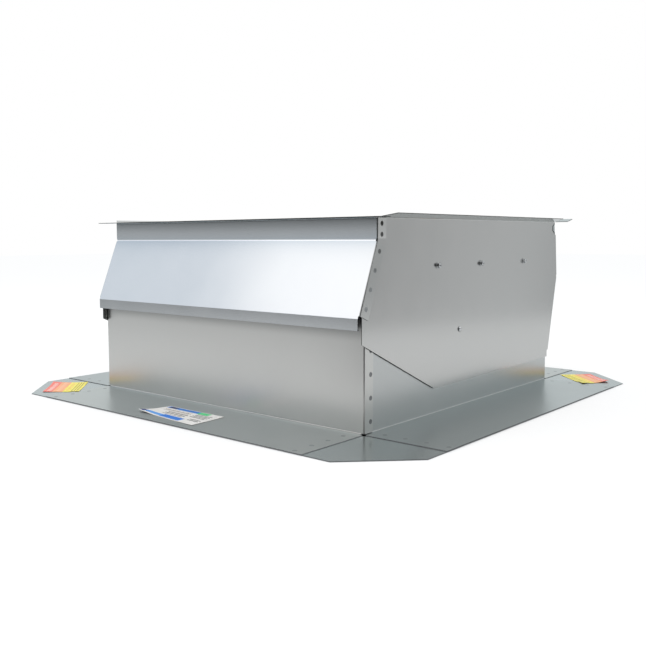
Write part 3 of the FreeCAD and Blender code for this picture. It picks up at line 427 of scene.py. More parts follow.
@dataclass(frozen=True)
class PrintedPaper(Finish):
    """Coated paper label with flat printed ink blocks, pressed on by hand.

    The coating gives the paper a faint gloss over a matt body, and the ink sits in it evenly.
    """

    paper: str
    blocks: tuple[Block, ...]
    roughness: float = 0.45
    fibre: float = 2.5 * MM
    tooth: float = 0.05 * MM
    inked: float = 0.45

    def mask(self, tree: Tree, spot: Node, block: Block) -> Node:
        """Makes the mask of one printed block.

        Args:
            tree: the material's node tree.
            spot: the node that splits the place on the label into X and Y.
            block: the block to mask.

        Returns:
            A node that is 1 inside the block and 0 outside, ruled where the block has lines.
        """
        gates = []
        for axis, low, high in zip("XY", block.low, block.high):
            span = {0: spot.outputs[axis], 1: (low + high) / 2, 2: (high - low) / 2}
            gates.append(add_node(tree, "Math", span, operation="COMPARE"))
        if block.lines:
            ruling = {0: spot.outputs["Y"], 1: block.lines}
            ruled = add_node(tree, "Math", ruling, operation="MULTIPLY")
            part = add_node(tree, "Math", {0: ruled}, operation="FRACT")
            gates.append(add_node(tree, "Math", {0: part, 1: self.inked}, operation="LESS_THAN"))
        inside = gates[0]
        for gate in gates[1:]:
            inside = add_node(tree, "Math", {0: inside, 1: gate}, operation="MULTIPLY")
        return inside

    def shader(self, tree: Tree) -> Node:
        """Builds the printed paper.

        Args:
            tree: the material's node tree.

        Returns:
            The shader.
        """
        coordinates = add_node(tree, "TexCoord").outputs
        spot = add_node(tree, "SeparateXYZ", {"Vector": coordinates["UV"]})
        pulp = {"Scale": 1 / self.fibre, "Detail": 4.0, "Roughness": 0.6}
        fibres = add_node(tree, "TexNoise", {"Vector": coordinates["Object"], **pulp})
        paper = linear(self.paper)
        shadow = tuple(0.9 * part for part in paper[:3]) + (1.0,)
        layers = {SHARE: fibres, FIRST: paper, SECOND: shadow}
        under = add_node(tree, "Mix", layers, data_type="RGBA")
        for block in self.blocks:
            mask = self.mask(tree, spot, block)
            layers = {SHARE: mask, FIRST: under, SECOND: linear(block.ink)}
            under = add_node(tree, "Mix", layers, data_type="RGBA")
        low, high = self.roughness - 0.05, self.roughness + 0.1
        sheen = add_node(tree, "MapRange", {"Value": fibres, "To Min": low, "To Max": high})
        tooth = {"Height": fibres, "Strength": 0.3, "Distance": self.tooth}
        return add_node(tree, "BsdfPrincipled", {
            "Base Color": under,
            "Roughness": sheen,
            "IOR": 1.5,
            "Normal": add_node(tree, "Bump", tooth),
        })


@dataclass(frozen=True)
class FloorPaper(Finish):
    """Matt background paper: plain white to the eye where nothing shades it.

    Its glow is for the eye and for reflections only, and dims below the roof jack, which keeps
    the shadow. Round the corner reliefs of the neck the floor is painted nearly black: painted
    shade of the gap below the flashing.
    """

    white: str = "#B9BABB"
    # Painted shade: the floor round the corner reliefs takes this near-black colour.
    gap: str = "#161616"
    relief: tuple[float, float, float] = (228.5 * MM, 228.5 * MM, 0.0)
    relief_shade_reach: tuple[float, float] = (8.0 * MM, 14.0 * MM)
    glow: float = 0.54
    shadow_reach: float = 80.0 * MM

    def shader(self, tree: Tree) -> Node:
        """Builds the paper.

        Args:
            tree: the material's node tree.

        Returns:
            The shader.
        """
        place = add_node(tree, "TexCoord").outputs["Object"]
        # Painted shade: nearly black floor round each corner relief, fading out further away.
        quarter = add_node(tree, "VectorMath", {0: place}, operation="ABSOLUTE")
        away = add_node(tree, "VectorMath", {0: quarter, 1: self.relief}, operation="DISTANCE")
        low, high = self.relief_shade_reach
        clear = add_node(tree, "MapRange", {"Value": away, "From Min": low, "From Max": high})
        layers = {SHARE: clear, FIRST: linear(self.gap), SECOND: linear(self.white)}
        ground = add_node(tree, "Mix", layers, data_type="RGBA")
        matt = add_node(tree, "BsdfDiffuse", {"Color": ground})
        sky = add_node(tree, "AmbientOcclusion", {"Distance": self.shadow_reach}, samples=8)
        shaded = add_node(tree, "Math", {0: sky.outputs["AO"], 1: 2.0}, operation="POWER")
        for factor in (self.glow, clear):
            shaded = add_node(tree, "Math", {0: shaded, 1: factor}, operation="MULTIPLY")
        warm_white = (1.0, 0.985, 0.965, 1.0)
        glow = add_node(tree, "Emission", {"Color": warm_white, "Strength": shaded})
        lit = add_node(tree, "AddShader", {0: matt, 1: glow})
        return add_node(tree, "MixShader", {0: seen_rays(tree), 1: matt, 2: lit})


@dataclass(frozen=True)
class GreyFelt(Finish):
    """Grey felt that only the metal sees, darkest toward the camera, with a dim patch behind."""

    toward: tuple[float, float]
    rear: tuple[float, float] = (0.139, 0.990)

    def shader(self, tree: Tree) -> Node:
        """Builds the felt.

        Args:
            tree: the material's node tree.

        Returns:
            The shader.
        """
        place = add_node(tree, "TexCoord").outputs["Object"]
        way = add_node(tree, "VectorMath", {0: place}, operation="NORMALIZE")
        shades = {}
        # Toward what, between which two facings, and the greys there.
        for number, (aim, low, high, pale, dark) in enumerate((
            ((*self.toward, 0.8), -0.33, 0.42, 0.88, 0.12),
            ((*self.rear, 0.0), 0.93, 0.985, 1.0, 0.45),
        )):
            facing = add_node(tree, "VectorMath", {0: way, 1: aim}, operation="DOT_PRODUCT")
            span = {"From Min": low, "From Max": high, "To Min": pale, "To Max": dark}
            shades[number] = add_node(tree, "MapRange", {"Value": facing, **span})
        both = add_node(tree, "Math", shades, operation="MULTIPLY")
        cool_white = (0.97, 0.99, 1.0, 1.0)
        return add_node(tree, "Emission", {"Color": cool_white, "Strength": both})


def connected(items: Iterable, neighbours: Callable[[object], Iterable]) -> list[list]:
    """Splits items into the groups that hang together.

    Args:
        items: what to split.
        neighbours: gives what an item hangs together with.

    Returns:
        The groups.
    """
    left = set(items)
    groups = []
    while left:
        queue = [left.pop()]
        groups.append(list(queue))
        while queue:
            for other in neighbours(queue.pop()):
                if other in left:
                    left.remove(other)
                    queue.append(other)
                    groups[-1].append(other)
    return groups


def solids(node: str, gap: float) -> list[np.ndarray]:
    """Finds the separate solids of a node from its vertices.

    Args:
        node: the CAD node's name.
        gap: vertices nearer to each other than this belong to one solid.

    Returns:
        The points of each solid, in the order of their lowest Y, then Z.
    """
    points = [v.co.copy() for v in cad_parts[node].data.vertices]
    tree = kdtree.KDTree(len(points))
    for number, point in enumerate(points):
        tree.insert(point, number)
    tree.balance()
    groups = connected(
        range(len(points)), lambda n: [number for _, number, _ in tree.find_range(points[n], gap)]
    )
    found = [np.array([points[n] for n in sorted(group)]) for group in groups]
    return sorted(found, key=lambda p: (*(round(low, 4) for low in p.min(0)[1:]), p.min(0)[0]))


def bridge(shape: Shape, rings: list[list[Corner]]) -> None:
    """Joins each ring of corners to the next with faces.

    Args:
        shape: the bmesh that gets the faces.
        rings: the rings, all of one count; a ring of one corner closes the end.
    """
    for a, b in zip(rings, rings[1:]):
        count = max(len(a), len(b))
        for i in range(count):
            j = (i + 1) % count
            face = (a[i % len(a)], a[j % len(a)], b[j % len(b)], b[i % len(b)])
            corners = list(dict.fromkeys(face))
            if len(corners) > 2:
                shape.faces.new(corners)


def lathe(
    shape: Shape, profile: list[tuple[float | list[float], float]], count: int, pose: Matrix
) -> list[Corner]:
    """Turns a profile about the local Z axis into the shape.

    Args:
        shape: the bmesh that gets the faces.
        profile: radius and height of each ring. A radius of 0 closes the end, and a list gives
            each corner its own radius.
        count: steps round the axis.
        pose: where the axis goes.

    Returns:
        The corners of the last ring.
    """
    rings = []
    for radius, height in profile:
        radii = radius if isinstance(radius, list) else [radius] * (count if radius else 1)
        turns = [math.tau * i / count for i in range(len(radii))]
        rings.append([
            shape.verts.new(pose @ Vector((r * math.cos(turn), r * math.sin(turn), height)))
            for r, turn in zip(radii, turns)
        ])
    bridge(shape, rings)
    return rings[-1]


@dataclass(frozen=True)
class Squeeze:
    """The edge of a relief slot that the bending press pushes almost shut."""

    height: float
    rise: float
    lean: float = 0.0
    reach: float = 0.06 * MM

    def apply(self, shape: Shape) -> None:
        """Moves the corners on the edge along the wall, which leans by lean per unit of rise.

        Args:
            shape: the part's faces.
        """
        for vert in shape.verts:
            if abs(vert.co.z - self.height) < self.reach:
                vert.co += Vector((0.0, -self.lean, 1.0)) * self.rise


@dataclass
class FoldedSheet:
    """A sheet-metal part folded from one blank, with its sheared edges told from its skins."""

    node: str
    body: str
    slot: str
    finish: Material
    fold_limit: float = 35.0
    edge_width: float = 1.0 * MM
    squeezes: tuple[Squeeze, ...] = ()

    def mark_cut_edges(self, shape: Shape) -> None:
        """Writes 1 on the faces that the shears made.

        A skin or a bend is far wider than the sheet is thick, so a smooth run of faces that is
        only about one thickness wide is a sheared edge or the wall of a hole.

        Args:
            shape: the part's faces.
        """
        limit = math.radians(self.fold_limit)
        layer = shape.faces.layers.float.new(CUT_EDGE)
        runs = connected(shape.faces, lambda face: [
            other for edge in face.edges if is_soft(edge, limit) for other in edge.link_faces
        ])
        for run in runs:
            edges = [edge for face in run for edge in face.edges]
            rim = sum(edge.calc_length() for edge in edges if not is_soft(edge, limit))
            width = 2 * sum(face.calc_area() for face in run) / max(rim, MM)
            for face in run:
                face[layer] = 1.0 if width < self.edge_width else 0.0

    def build(self) -> Piece:
        """Builds the part from its solid.

        Returns:
            The piece, which rides on the body and stands for the node.
        """
        shape = bmesh.new()
        shape.from_mesh(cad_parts[self.node].data)
        bmesh.ops.remove_doubles(shape, verts=shape.verts, dist=0.001 * MM)
        for squeeze in self.squeezes:
            squeeze.apply(shape)
        self.mark_cut_edges(shape)
        piece = new_piece(f"{self.node}_sheet", shape, self.finish, self.fold_limit)
        even = piece.modifiers.new("even_flats", "WEIGHTED_NORMAL")
        even.keep_sharp = True
        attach(piece, self.body)
        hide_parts(self.node)
        return piece


@dataclass
class SpotWelds:
    """Round scars of a spot welder's copper tips, one on each solid of a node."""

    node: str
    body: str
    finish: Material
    radius: float = 2.75 * MM
    rise: float = 0.2 * MM
    steps: int = 28
    gap: float = 3.2 * MM

    def profile(self) -> list[tuple[float, float]]:
        """The scar's section: a sunk middle, a raised rim and a skirt that dies into the sheet."""
        shape = ((0, 0.25), (0.35, 0.28), (0.62, 0.45), (0.78, 0.95), (0.88, 0.9), (1, 0.02))
        return [(self.radius * r, self.rise * h) for r, h in shape]

    def build(self) -> Piece:
        """Builds every scar of the node in one mesh.

        Returns:
            The piece, which rides on the body and stands for the node.
        """
        shape = bmesh.new()
        for points in solids(self.node, self.gap):
            middle = Vector((points.min(0) + points.max(0)) / 2)
            # The direction in which the solid is thinnest, turned to the sheet's outer side.
            normal = Vector(np.linalg.svd(points - middle, full_matrices=False)[2][2])
            lies_flat = abs(normal.z) > 0.8
            outward = Vector((0, 0, 1)) if lies_flat else Vector((middle.x, middle.y, 0.0))
            if normal.dot(outward) < 0:
                normal = -normal
            foot = middle - normal * self.rise / 2
            turn = normal.to_track_quat("Z", "Y").to_matrix().to_4x4()
            lathe(shape, self.profile(), self.steps, Matrix.Translation(foot) @ turn)
        piece = new_piece(f"{self.node}_scars", shape, self.finish)
        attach(piece, self.body)
        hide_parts(self.node)
        return piece


class Head(Enum):
    """The kinds of screw head, with how far each stands off its seat."""

    HEX_WASHER = 3.6 * MM
    PAN = 2.0 * MM


@dataclass
class Screws:
    """Sheet-metal screws of one side, one on each solid of a node."""

    side: Side
    node: str
    body: str
    head: Head
    finish: Material
    washer_radius: float = 4.0 * MM
    washer_thick: float = 0.9 * MM
    hex_across: float = 6.35 * MM
    pan_radius: float = 3.3 * MM
    shank_radius: float = 2.05 * MM
    root_radius: float = 1.55 * MM
    pitch: float = 1.4 * MM
    taper: float = 3.0 * MM
    rows_per_turn: int = 8
    steps: int = 24
    head_steps: int = 36
    gap: float = 20.0 * MM
    spins: tuple[float, ...] = (17, 41, 8)

    def pan_head(self, shape: Shape, pose: Matrix) -> None:
        """Adds a domed head with a small cupped middle.

        Args:
            shape: the bmesh that gets the faces.
            pose: the screw's seat, with Z outward.
        """
        rise, radius = self.head.value, self.pan_radius
        dome = [(self.root_radius, 0.0), (radius * 0.97, 0.0), (radius, 0.06 * rise)]
        for step in range(9):
            turn = math.radians(8 + 9.4 * step)
            height = rise * (0.12 + 0.88 * math.sin(turn) ** 1.1)
            dome.append((radius * math.cos(turn) ** 0.8, height))
        dome += [(0.16 * radius, rise), (0.13 * radius, 0.80 * rise), (0, 0.74 * rise)]
        lathe(shape, dome, self.head_steps, pose)

    def hex_head(self, shape: Shape, pose: Matrix) -> None:
        """Adds the dished washer face and the hexagon with its cupped top.

        Args:
            shape: the bmesh that gets the faces.
            pose: the screw's seat, with Z outward.
        """
        thick, top, steps = self.washer_thick, self.head.value, self.head_steps
        washer = [(self.root_radius, 0.0)] + [
            (share * self.washer_radius, height * thick)
            for share, height in (
                (0.86, 0.0), (0.97, 0.12), (1.0, 0.42), (0.985, 0.62), (0.92, 0.78),
                (0.80, 0.97), (0.70, 1.0),
            )
        ]
        lathe(shape, washer, steps, pose)
        flat = self.hex_across / 2
        reach = [self.hex_reach(i / steps) for i in range(steps)]
        rounded = [(1.0, thick * 0.9), (1.0, top - 0.55 * MM), (0.985, top - 0.35 * MM)]
        levels = [([r * share for r in reach], height) for share, height in rounded]
        levels.append(([min(r, flat) * 0.95 for r in reach], top))
        cup = ((0.70, 0.0), (0.62, 0.7 * MM), (0.35, 1.3 * MM))
        levels += [(flat * share, top - drop) for share, drop in cup]
        shape.faces.new(lathe(shape, levels, steps, pose))

    def hex_reach(self, turn: float) -> float:
        """How far the hexagon reaches at a share of a full turn, with slightly dulled corners."""
        angle = (turn * math.tau) % (math.tau / 6) - math.tau / 12
        return self.hex_across * min(0.5 / math.cos(angle), 0.985 / math.sqrt(3))

    def shank(self, shape: Shape, pose: Matrix, length: float) -> None:
        """Adds the threaded shank and its point, down from the seat.

        Args:
            shape: the bmesh that gets the faces.
            pose: the screw's seat, with Z outward.
            length: how far the screw reaches below the seat.
        """
        rows = int(length / self.pitch * self.rows_per_turn)
        profile = []
        for row in range(rows + 1):
            depth = length * row / rows
            to_point = min(1.0, max(0.0, (length - depth) / self.taper))
            radii = []
            for i in range(self.steps):
                phase = (depth / self.pitch - i / self.steps) % 1.0
                crest = max(0.0, 1.0 - abs(phase - 0.5) * 3.2)
                radius = self.root_radius + (self.shank_radius - self.root_radius) * crest
                radii.append(radius * (0.12 + 0.88 * to_point ** 0.75))
            profile.append((radii, -depth))
        shape.faces.new(lathe(shape, profile, self.steps, pose))

    def build(self) -> Piece:
        """Builds every screw of the node in one mesh.

        Returns:
            The piece, which rides on the body and stands for the node.
        """
        shape = bmesh.new()
        outward = Vector((self.side.value, 0, 0))
        for number, points in enumerate(solids(self.node, self.gap)):
            low, high = Vector(points.min(0)), Vector(points.max(0))
            seat = (low + high) / 2
            tip = high.x if self.side is Side.RIGHT else low.x
            seat.x = tip - self.side.value * self.head.value
            turn = outward.to_track_quat("Z", "Y").to_matrix().to_4x4()
            angle = math.radians(self.spins[number % len(self.spins)])
            pose = Matrix.Translation(seat) @ turn @ Matrix.Rotation(angle, 4, "Z")
            make_head = self.pan_head if self.head is Head.PAN else self.hex_head
            make_head(shape, pose)
            self.shank(shape, pose, high.x - low.x - self.head.value)
        piece = new_piece(f"{self.node}_dressed", shape, self.finish, 28.0)
        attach(piece, self.body)
        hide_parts(self.node)
        return piece


@dataclass
class Sticker:
    """A paper label on the flashing: its four corners, its print and how its corners lift."""

    name: str
    corners: tuple[tuple[float, float], ...]
    finish: Material
    lifts: tuple[float, float, float, float]
    sheet: float = 0.7 * MM
    strip_end: float = 229.2 * MM
    strip_slope: float = 5.0 * MM
    glue: float = 0.03 * MM
    thick: float = 0.18 * MM
    curl_reach: float = 0.62
    ripple: float = 0.12 * MM
    ripples_per_metre: float = 45.0
    columns: int = 40
    rows: int = 24

    def seat(self, x: float, y: float) -> float:
        """Top of the flashing below the label: two sheets on the strips, one on a corner plate."""
        share = min(1, max(0, 1 - (min(abs(x), abs(y)) - self.strip_end) / self.strip_slope))
        return self.sheet * (1 + share * share * (3 - 2 * share)) + self.glue

    def point(self, u: float, v: float) -> Vector:
        """Finds a place on the lying label.

        Args:
            u: share of the label's length.
            v: share of its width.

        Returns:
            The place, with the lift of the corners and the paper's ripple.
        """
        a, b, c, d = (Vector((x, y)) for x, y in self.corners)
        flat = a.lerp(b, u).lerp(d.lerp(c, u), v)
        rise = 0.0
        for (cu, cv), lift in zip(((0, 0), (1, 0), (1, 1), (0, 1)), self.lifts):
            near = max(0.0, 1 - math.hypot((u - cu) * 1.5, v - cv) / self.curl_reach)
            rise += lift * near ** 1.8
        spot = Vector((flat.x, flat.y, 0)) * self.ripples_per_metre
        ripple = self.ripple * (1 + noise.noise(spot))
        return Vector((flat.x, flat.y, self.seat(flat.x, flat.y) + rise + ripple))

    def build(self) -> Piece:
        """Builds the label as a thin curled sheet.

        Returns:
            The piece, which rides on the neck.
        """
        shape = bmesh.new()
        layer = shape.loops.layers.uv.new("UVMap")
        top, under = {}, {}
        for i in range(self.columns + 1):
            for j in range(self.rows + 1):
                place = self.point(i / self.columns, j / self.rows)
                top[i, j] = shape.verts.new(place + Vector((0, 0, self.thick)))
                under[i, j] = shape.verts.new(place)
        faces = []
        for i in range(self.columns):
            for j in range(self.rows):
                ring = ((i, j), (i + 1, j), (i + 1, j + 1), (i, j + 1))
                faces.append([(top, spot) for spot in ring])
                faces.append([(under, spot) for spot in ring[::-1]])
        rim = [(i, 0) for i in range(self.columns)]
        rim += [(self.columns, j) for j in range(self.rows)]
        rim += [(i, self.rows) for i in range(self.columns, 0, -1)]
        rim += [(0, j) for j in range(self.rows, 0, -1)]
        for a, b in zip(rim, rim[1:] + rim[:1]):
            faces.append([(top, b), (top, a), (under, a), (under, b)])
        for corners in faces:
            face = shape.faces.new([sheet[spot] for sheet, spot in corners])
            for loop, (_, (i, j)) in zip(face.loops, corners):
                loop[layer].uv = (i / self.columns, j / self.rows)
        piece = new_piece(self.name, shape, self.finish, 60.0)
        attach(piece, "neck")
        return piece


@dataclass
class Neck:
    """The lower box: four walls with their flashing strips, and the four corner plates."""

    # Both neck panels with this finish get painted shade below the hood's lip, darker toward the
    # top.
    front: GalvanizedSteel = GalvanizedSteel(
        "galvanized_sheet_front",
        zinc="#BCBDBB", frost="#C5C5C3", sheared="#86888A", roughness=0.31,
        fold_height=0.7 * MM, fold_reach=1.1 * MM, fold_rise=0.7 * MM,
        painted_shade="#9A9B9A", shade_top=118.0 * MM, shade_depth=18.0 * MM,
    )
    walls: GalvanizedSteel = GalvanizedSteel(
        "galvanized_sheet_walls",
        sheared="#6E7072", grain=Grain.ACROSS_Y, roughness=0.31,
        fold_height=0.7 * MM, fold_reach=1.1 * MM, fold_rise=0.7 * MM,
    )
    corners: GalvanizedSteel = GalvanizedSteel(
        "galvanized_corner_plate",
        zinc="#B5B8B8", frost="#BEC0C0", sheared="#6E7072", grain=Grain.ACROSS_YZ,
    )

    def build(self) -> list[Piece]:
        """Builds each wall and corner plate.

        Returns:
            The new pieces.
        """
        front, walls, corners = (f.material() for f in (self.front, self.walls, self.corners))
        sheet, corner = "galvanized_sheet", "galvanized_corner"
        rows = [("neck_front_panel", sheet, front), ("neck_rear_panel", sheet, front)]
        rows += [(f"neck_{side.word}_panel", sheet, walls) for side in Side]
        for end in ("front", "rear"):
            rows += [(f"flashing_corner_{end}_{side.word}", corner, corners) for side in Side]
        return [FoldedSheet(node, "neck", slot, finish).build() for node, slot, finish in rows]


@dataclass
class Hood:
    """The upper box that tilts: front, cheeks and rear, each folded from one sheet."""

    # The near-black cut edges of the hood's sheets are bare steel and also painted shade of the
    # gaps beside them. The front also has painted shade along its upper fold and below its top
    # flange, and a painted highlight on that fold.
    front: GalvanizedSteel = GalvanizedSteel(
        "galvanized_sheet_hood_front",
        zinc="#B3B7B9", frost="#BCBFC1", sheared="#2A2A29", tab_zinc="#B4B5B4", roughness=0.20,
        fold_height=211.0 * MM, fold_rise=0.8 * MM, fold_shade_share=0.38,
        fold_highlight="#D8DADD", fold_highlight_height=211.1 * MM, shade_top=236.0 * MM,
    )
    # The rear's near-black cut edges are bare steel and also painted shade of the gaps round its
    # ears.
    rear: GalvanizedSteel = GalvanizedSteel(
        "galvanized_sheet_hood_rear", sheared="#20201F", roughness=0.20
    )
    # The cheeks' near-black cut edges are bare steel and also painted shade of the gaps beside
    # them.
    # The cheeks dish inward a little between the top flange and the foot.
    cheeks: GalvanizedSteel = GalvanizedSteel(
        "galvanized_sheet_cheeks",
        zinc="#B3B4B3", frost="#BCBCBB", sheared="#232322", graze=(0.84, 0.86, 0.86),
        grain=Grain.ACROSS_YZ, roughness=0.19, wave_rise=0.5 * MM,
        fold_height=172.0 * MM, fold_reach=60.0 * MM, fold_rise=-1.7 * MM, fold_power=2.0,
    )
    front_squeeze: Squeeze = Squeeze(233.0 * MM, 2.1 * MM)
    ear_squeezes: tuple[Squeeze, ...] = (
        Squeeze(233.265 * MM, -1.45 * MM, 0.099),
        Squeeze(219.265 * MM, 1.42 * MM, 0.099),
    )

    def build(self) -> list[Piece]:
        """Builds each folded sheet.

        Returns:
            The new pieces.
        """
        front, rear, cheeks = (f.material() for f in (self.front, self.rear, self.cheeks))
        # The bending press squeezes the reliefs below the top flange almost shut.
        return [
            FoldedSheet(node, "hood", slot, finish, squeezes=squeezes).build()
            for node, slot, finish, squeezes in (
                ("hood_front_panel", "galvanized_front", front, (self.front_squeeze,)),
                ("hood_rear_panel", "galvanized_sheet", rear, self.ear_squeezes),
                ("hood_left_panel", "galvanized_sheet", cheeks, ()),
                ("hood_right_panel", "galvanized_sheet", cheeks, ()),
            )
        ]


def finish_node(node: str, finish: Material) -> None:
    """Assigns a finish to every material slot of a CAD node.

    Args:
        node: the node's name.
        finish: its material.
    """
    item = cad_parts[node]
    if not item.data.materials:
        item.data.materials.append(finish)
    for slot in item.material_slots:
        slot.material = finish


@dataclass
class Fasteners:
    """Screws, nuts and spot welds of both bodies."""

    zinc: PlatedSteel = PlatedSteel("zinc_plated_screw", "#D6D8D9", "#B2B5B7", 0.15)
    spring: PlatedSteel = PlatedSteel("phosphated_spring_steel", "#4A4B4D", "#2E2F31", 0.42)
    scar: PlatedSteel = PlatedSteel("spot_weld_scar", "#8B8E90", "#6E6F70", 0.42, 2.0 * MM)
    faint_scar: PlatedSteel = PlatedSteel(
        "spot_weld_scar_faint", "#A3A8A9", "#93989A", 0.34, 2.0 * MM
    )
    # The welds of the hood's front corner are darker at the top and pale at the foot.
    top_dark_scar: PlatedSteel = PlatedSteel(
        "spot_weld_scar_top_dark", "#403F3C", "#2E2D2A", 0.45, 2.0 * MM,
        fade_low=150.0 * MM, fade_high=232.0 * MM,
    )

    def build(self) -> list[Piece]:
        """Builds the screws and weld scars and dresses the nuts.

        Returns:
            The new pieces.
        """
        zinc, spring, scar, faint, top_dark = (
            finish.material()
            for finish in (self.zinc, self.spring, self.scar, self.faint_scar, self.top_dark_scar)
        )
        pieces = []
        for side in Side:
            pivot, locks = f"pivot_screw_{side.word}", f"lock_screws_{side.word}"
            pieces.append(Screws(side, pivot, "neck", Head.PAN, zinc).build())
            pieces.append(Screws(side, locks, "hood", Head.HEX_WASHER, zinc).build())
            finish_node(f"pivot_nut_{side.word}", spring)
            finish_node(f"lock_nuts_{side.word}", spring)
        for node, body, finish in (
            ("welds_neck_front", "neck", scar),
            ("welds_neck_rear", "neck", scar),
            ("welds_flashing", "neck", faint),
            ("welds_hood_front", "hood", top_dark),
            ("welds_hood_rear", "hood", scar),
        ):
            pieces.append(SpotWelds(node, body, finish).build())
        return pieces


@dataclass
class Stickers:
    """Three paper labels on the flashing, with colour blocks and no words."""

    front_edge: float = -228.5 * MM
    white: PrintedPaper = PrintedPaper(
        "white_coated_label",
        "#FBF8F3",
        (
            Block("#0A7AD6", (0.03, 0.82), (0.62, 0.98)),
            Block("#08265C", (0.06, 0.83), (0.20, 0.97)),
            Block("#4FDB88", (0.61, 0.80), (0.80, 0.98)),
            Block("#5FA6F2", (0.05, 0.07), (0.40, 0.22)),
            Block("#0F79DE", (0.36, 0.05), (0.72, 0.27)),
            Block("#2A3F86", (0.0, 0.03), (0.08, 0.20)),
            Block("#8C7C72", (0.10, 0.60), (0.58, 0.76), 12.0),
            Block("#4A3C34", (0.26, 0.32), (0.62, 0.56), 10.0),
            Block("#5C5A57", (0.66, 0.50), (0.92, 0.78), 12.0),
            Block("#3E3A37", (0.76, 0.20), (0.95, 0.42), 12.0),
        ),
    )
    bright: PrintedPaper = PrintedPaper(
        "orange_yellow_coated_label",
        "#FF7F6E",
        (
            Block("#FFB27A", (0.0, 0.46), (1.0, 0.74)),
            Block("#FFE3D8", (0.06, 0.80), (0.88, 0.92), 24.0),
            Block("#FFC6A8", (0.06, 0.55), (0.94, 0.66), 24.0),
            Block("#FFF15E", (0.0, 0.0), (1.0, 0.46)),
            Block("#F7B95C", (0.10, 0.32), (0.90, 0.42), 24.0),
            Block("#B8AB45", (0.05, 0.05), (0.95, 0.29), 14.0),
        ),
    )

    def build(self) -> list[Piece]:
        """Builds the three labels.

        Returns:
            The new pieces.
        """
        white, bright = self.white.material(), self.bright.material()
        # Name, finish, how far each corner lifts, and the corners from the front edge, in mm.
        rows = (
            ("label_front", white, (2.4, 0.3, 0.2, 0.3),
             ((-56.3, -81.2), (53.1, -91.0), (50.7, -37.4), (-46.1, -37.9))),
            ("label_left", bright, (0.3, 0.4, 2.0, 0.6),
             ((-223.1, -54.9), (-277.4, -3.0), (-313.4, -38.4), (-261.9, -88.1))),
            ("label_right", bright, (1.2, 0.3, 0.6, 2.6),
             ((289.7, 448.7), (232.6, 505.1), (265.7, 538.5), (312.1, 491.7))),
        )
        return [
            Sticker(
                name,
                tuple((x * MM, y * MM + self.front_edge) for x, y in corners),
                finish,
                tuple(lift * MM for lift in lifts),
            ).build()
            for name, finish, lifts, corners in rows
        ]


@dataclass
class Softbox:
    """A studio lamp behind a diffuser."""

    name: str
    place: tuple[float, float, float]
    aim: tuple[float, float, float]
    size: tuple[float, float]
    watts: float
    tint: str = "#FFFFFF"

    def build(self) -> None:
        """Builds the area lamp, which the camera itself doesn't see."""
        data = bpy.data.lights.new(self.name, "AREA")
        data.shape = "RECTANGLE"
        data.size, data.size_y = self.size
        data.energy = self.watts
        data.color = linear(self.tint)[:3]
        lamp = bpy.data.objects.new(self.name, data)
        lamp.location = self.place
        way = Vector(self.aim) - Vector(self.place)
        lamp.rotation_euler = way.to_track_quat("-Z", "Y").to_euler()
        lamp.visible_camera = False
        bpy.context.scene.collection.objects.link(lamp)


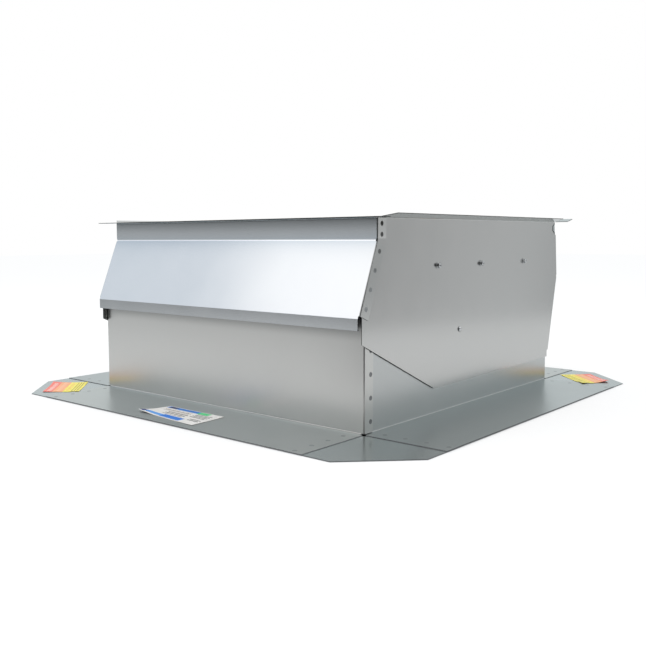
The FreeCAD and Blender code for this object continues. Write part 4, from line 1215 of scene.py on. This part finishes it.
@dataclass
class Studio:
    """Pale floor, white surround, soft lamps and the camera of the photograph."""

    floor_half: float = 9.0
    floor_drop: float = 0.2 * MM
    card_radius: float = 2.1
    card_height: float = 0.30
    card_steps: int = 96
    cloth_start: float = 1.38
    camera_side: float = 0.50
    flag_height: float = 1.2
    flag_edge: float = 0.50
    flag_blend: float = 0.30
    camera_place: tuple[float, float, float] = (0.7381628, -0.9195605, 0.2133842)
    yaw: float = 0.7169
    pitch: float = -0.0869
    roll: float = -0.0043
    focal: float = 806.6585
    centre: tuple[float, float] = (298.4626, 308.2848)
    picture: int = 646
    sensor: float = 36.0
    lamps: tuple[Softbox, ...] = (
        Softbox("key_softbox", (-0.95, -1.70, 1.40), (0, 0, 0.12), (1.3, 0.9), 3.3, "#FFF1E4"),
        Softbox("side_softbox", (-1.50, -1.20, 1.05), (0, 0, 0.15), (1.8, 1.0), 2.3, "#CFE2FF"),
        Softbox("top_softbox", (0.1, 0.1, 2.4), (0, 0, 0.1), (1.4, 1.4), 10.0),
    )

    def build(self) -> None:
        """Builds the floor, the world, the lamps and the camera."""
        self.build_floor()
        self.build_card()
        self.build_world()
        for lamp in self.lamps:
            lamp.build()
        self.build_camera()
        bpy.context.scene.view_settings.view_transform = "Standard"

    def build_floor(self) -> None:
        """A wide floor just below the flashing."""
        shape = bmesh.new()
        half = self.floor_half
        ring = [
            shape.verts.new((x * half, y * half, -self.floor_drop))
            for x, y in ((-1, -1), (1, -1), (1, 1), (-1, 1))
        ]
        shape.faces.new(ring)
        floor = new_piece("studio_floor", shape, FloorPaper("studio_floor").material())

    def build_card(self) -> None:
        """A grey cloth and low card all round, seen only in the metal, higher by the camera."""
        shape = bmesh.new()
        rings: list[list[Corner]] = [[], [], []]
        toward = Vector(self.camera_place[:2]).normalized()
        for i in range(self.card_steps):
            angle = math.tau * i / self.card_steps
            way = Vector((math.cos(angle), math.sin(angle)))
            near = min(1.0, max(0.0, (way.dot(toward) - self.flag_edge) / self.flag_blend))
            start = self.cloth_start + (self.camera_side - self.cloth_start) * near
            top = self.card_height + (self.flag_height - self.card_height) * near
            for ring, radius, height in zip(
                rings, (start, self.card_radius, self.card_radius), (MM, MM, top)
            ):
                ring.append(shape.verts.new((way.x * radius, way.y * radius, height)))
        bridge(shape, rings)
        felt = GreyFelt("grey_card", (toward.x, toward.y)).material()
        card = new_piece("grey_card", shape, felt)
        card.visible_camera = False
        card.visible_diffuse = False
        card.visible_shadow = False

    def build_world(self) -> None:
        """White to the eye and in the metal, and a plain even fill for everything else."""
        world = bpy.data.worlds.new("studio_world")
        bpy.context.scene.world = world
        world.use_nodes = True
        tree = world.node_tree
        tree.nodes.clear()
        white, fill = (
            add_node(tree, "Background", {"Color": linear(code), "Strength": 1.0})
            for code in ("#FFFFFF", "#F4F7FA")
        )
        both = add_node(tree, "MixShader", {0: seen_rays(tree), 1: fill, 2: white})
        add_node(tree, "OutputWorld", {"Surface": both})

    def build_camera(self) -> None:
        """The camera as it stood for the photograph."""
        data = bpy.data.cameras.new("photograph_camera")
        data.sensor_width = self.sensor
        data.lens = self.focal * self.sensor / self.picture
        data.shift_x = (self.picture / 2 - self.centre[0]) / self.picture
        data.shift_y = -(self.picture / 2 - self.centre[1]) / self.picture
        camera = bpy.data.objects.new("photograph_camera", data)
        bpy.context.scene.collection.objects.link(camera)
        bpy.context.scene.camera = camera
        pose = Matrix.Translation(self.camera_place)
        for angle, axis in ((self.yaw, "Z"), (math.tau / 4 + self.pitch, "X"), (self.roll, "Z")):
            pose @= Matrix.Rotation(angle, 4, axis)
        camera.matrix_world = pose


def main() -> None:
    """Dresses the roof jack from the roof up and sets the studio round it."""
    logging.basicConfig(level=logging.INFO, format="%(message)s")
    for assembly in (Neck(), Hood(), Fasteners(), Stickers()):
        for piece in assembly.build():
            log.info("%s built", piece.name)
    Studio().build()
    log.info("studio and camera set")


if __name__ == "__main__":
    main()
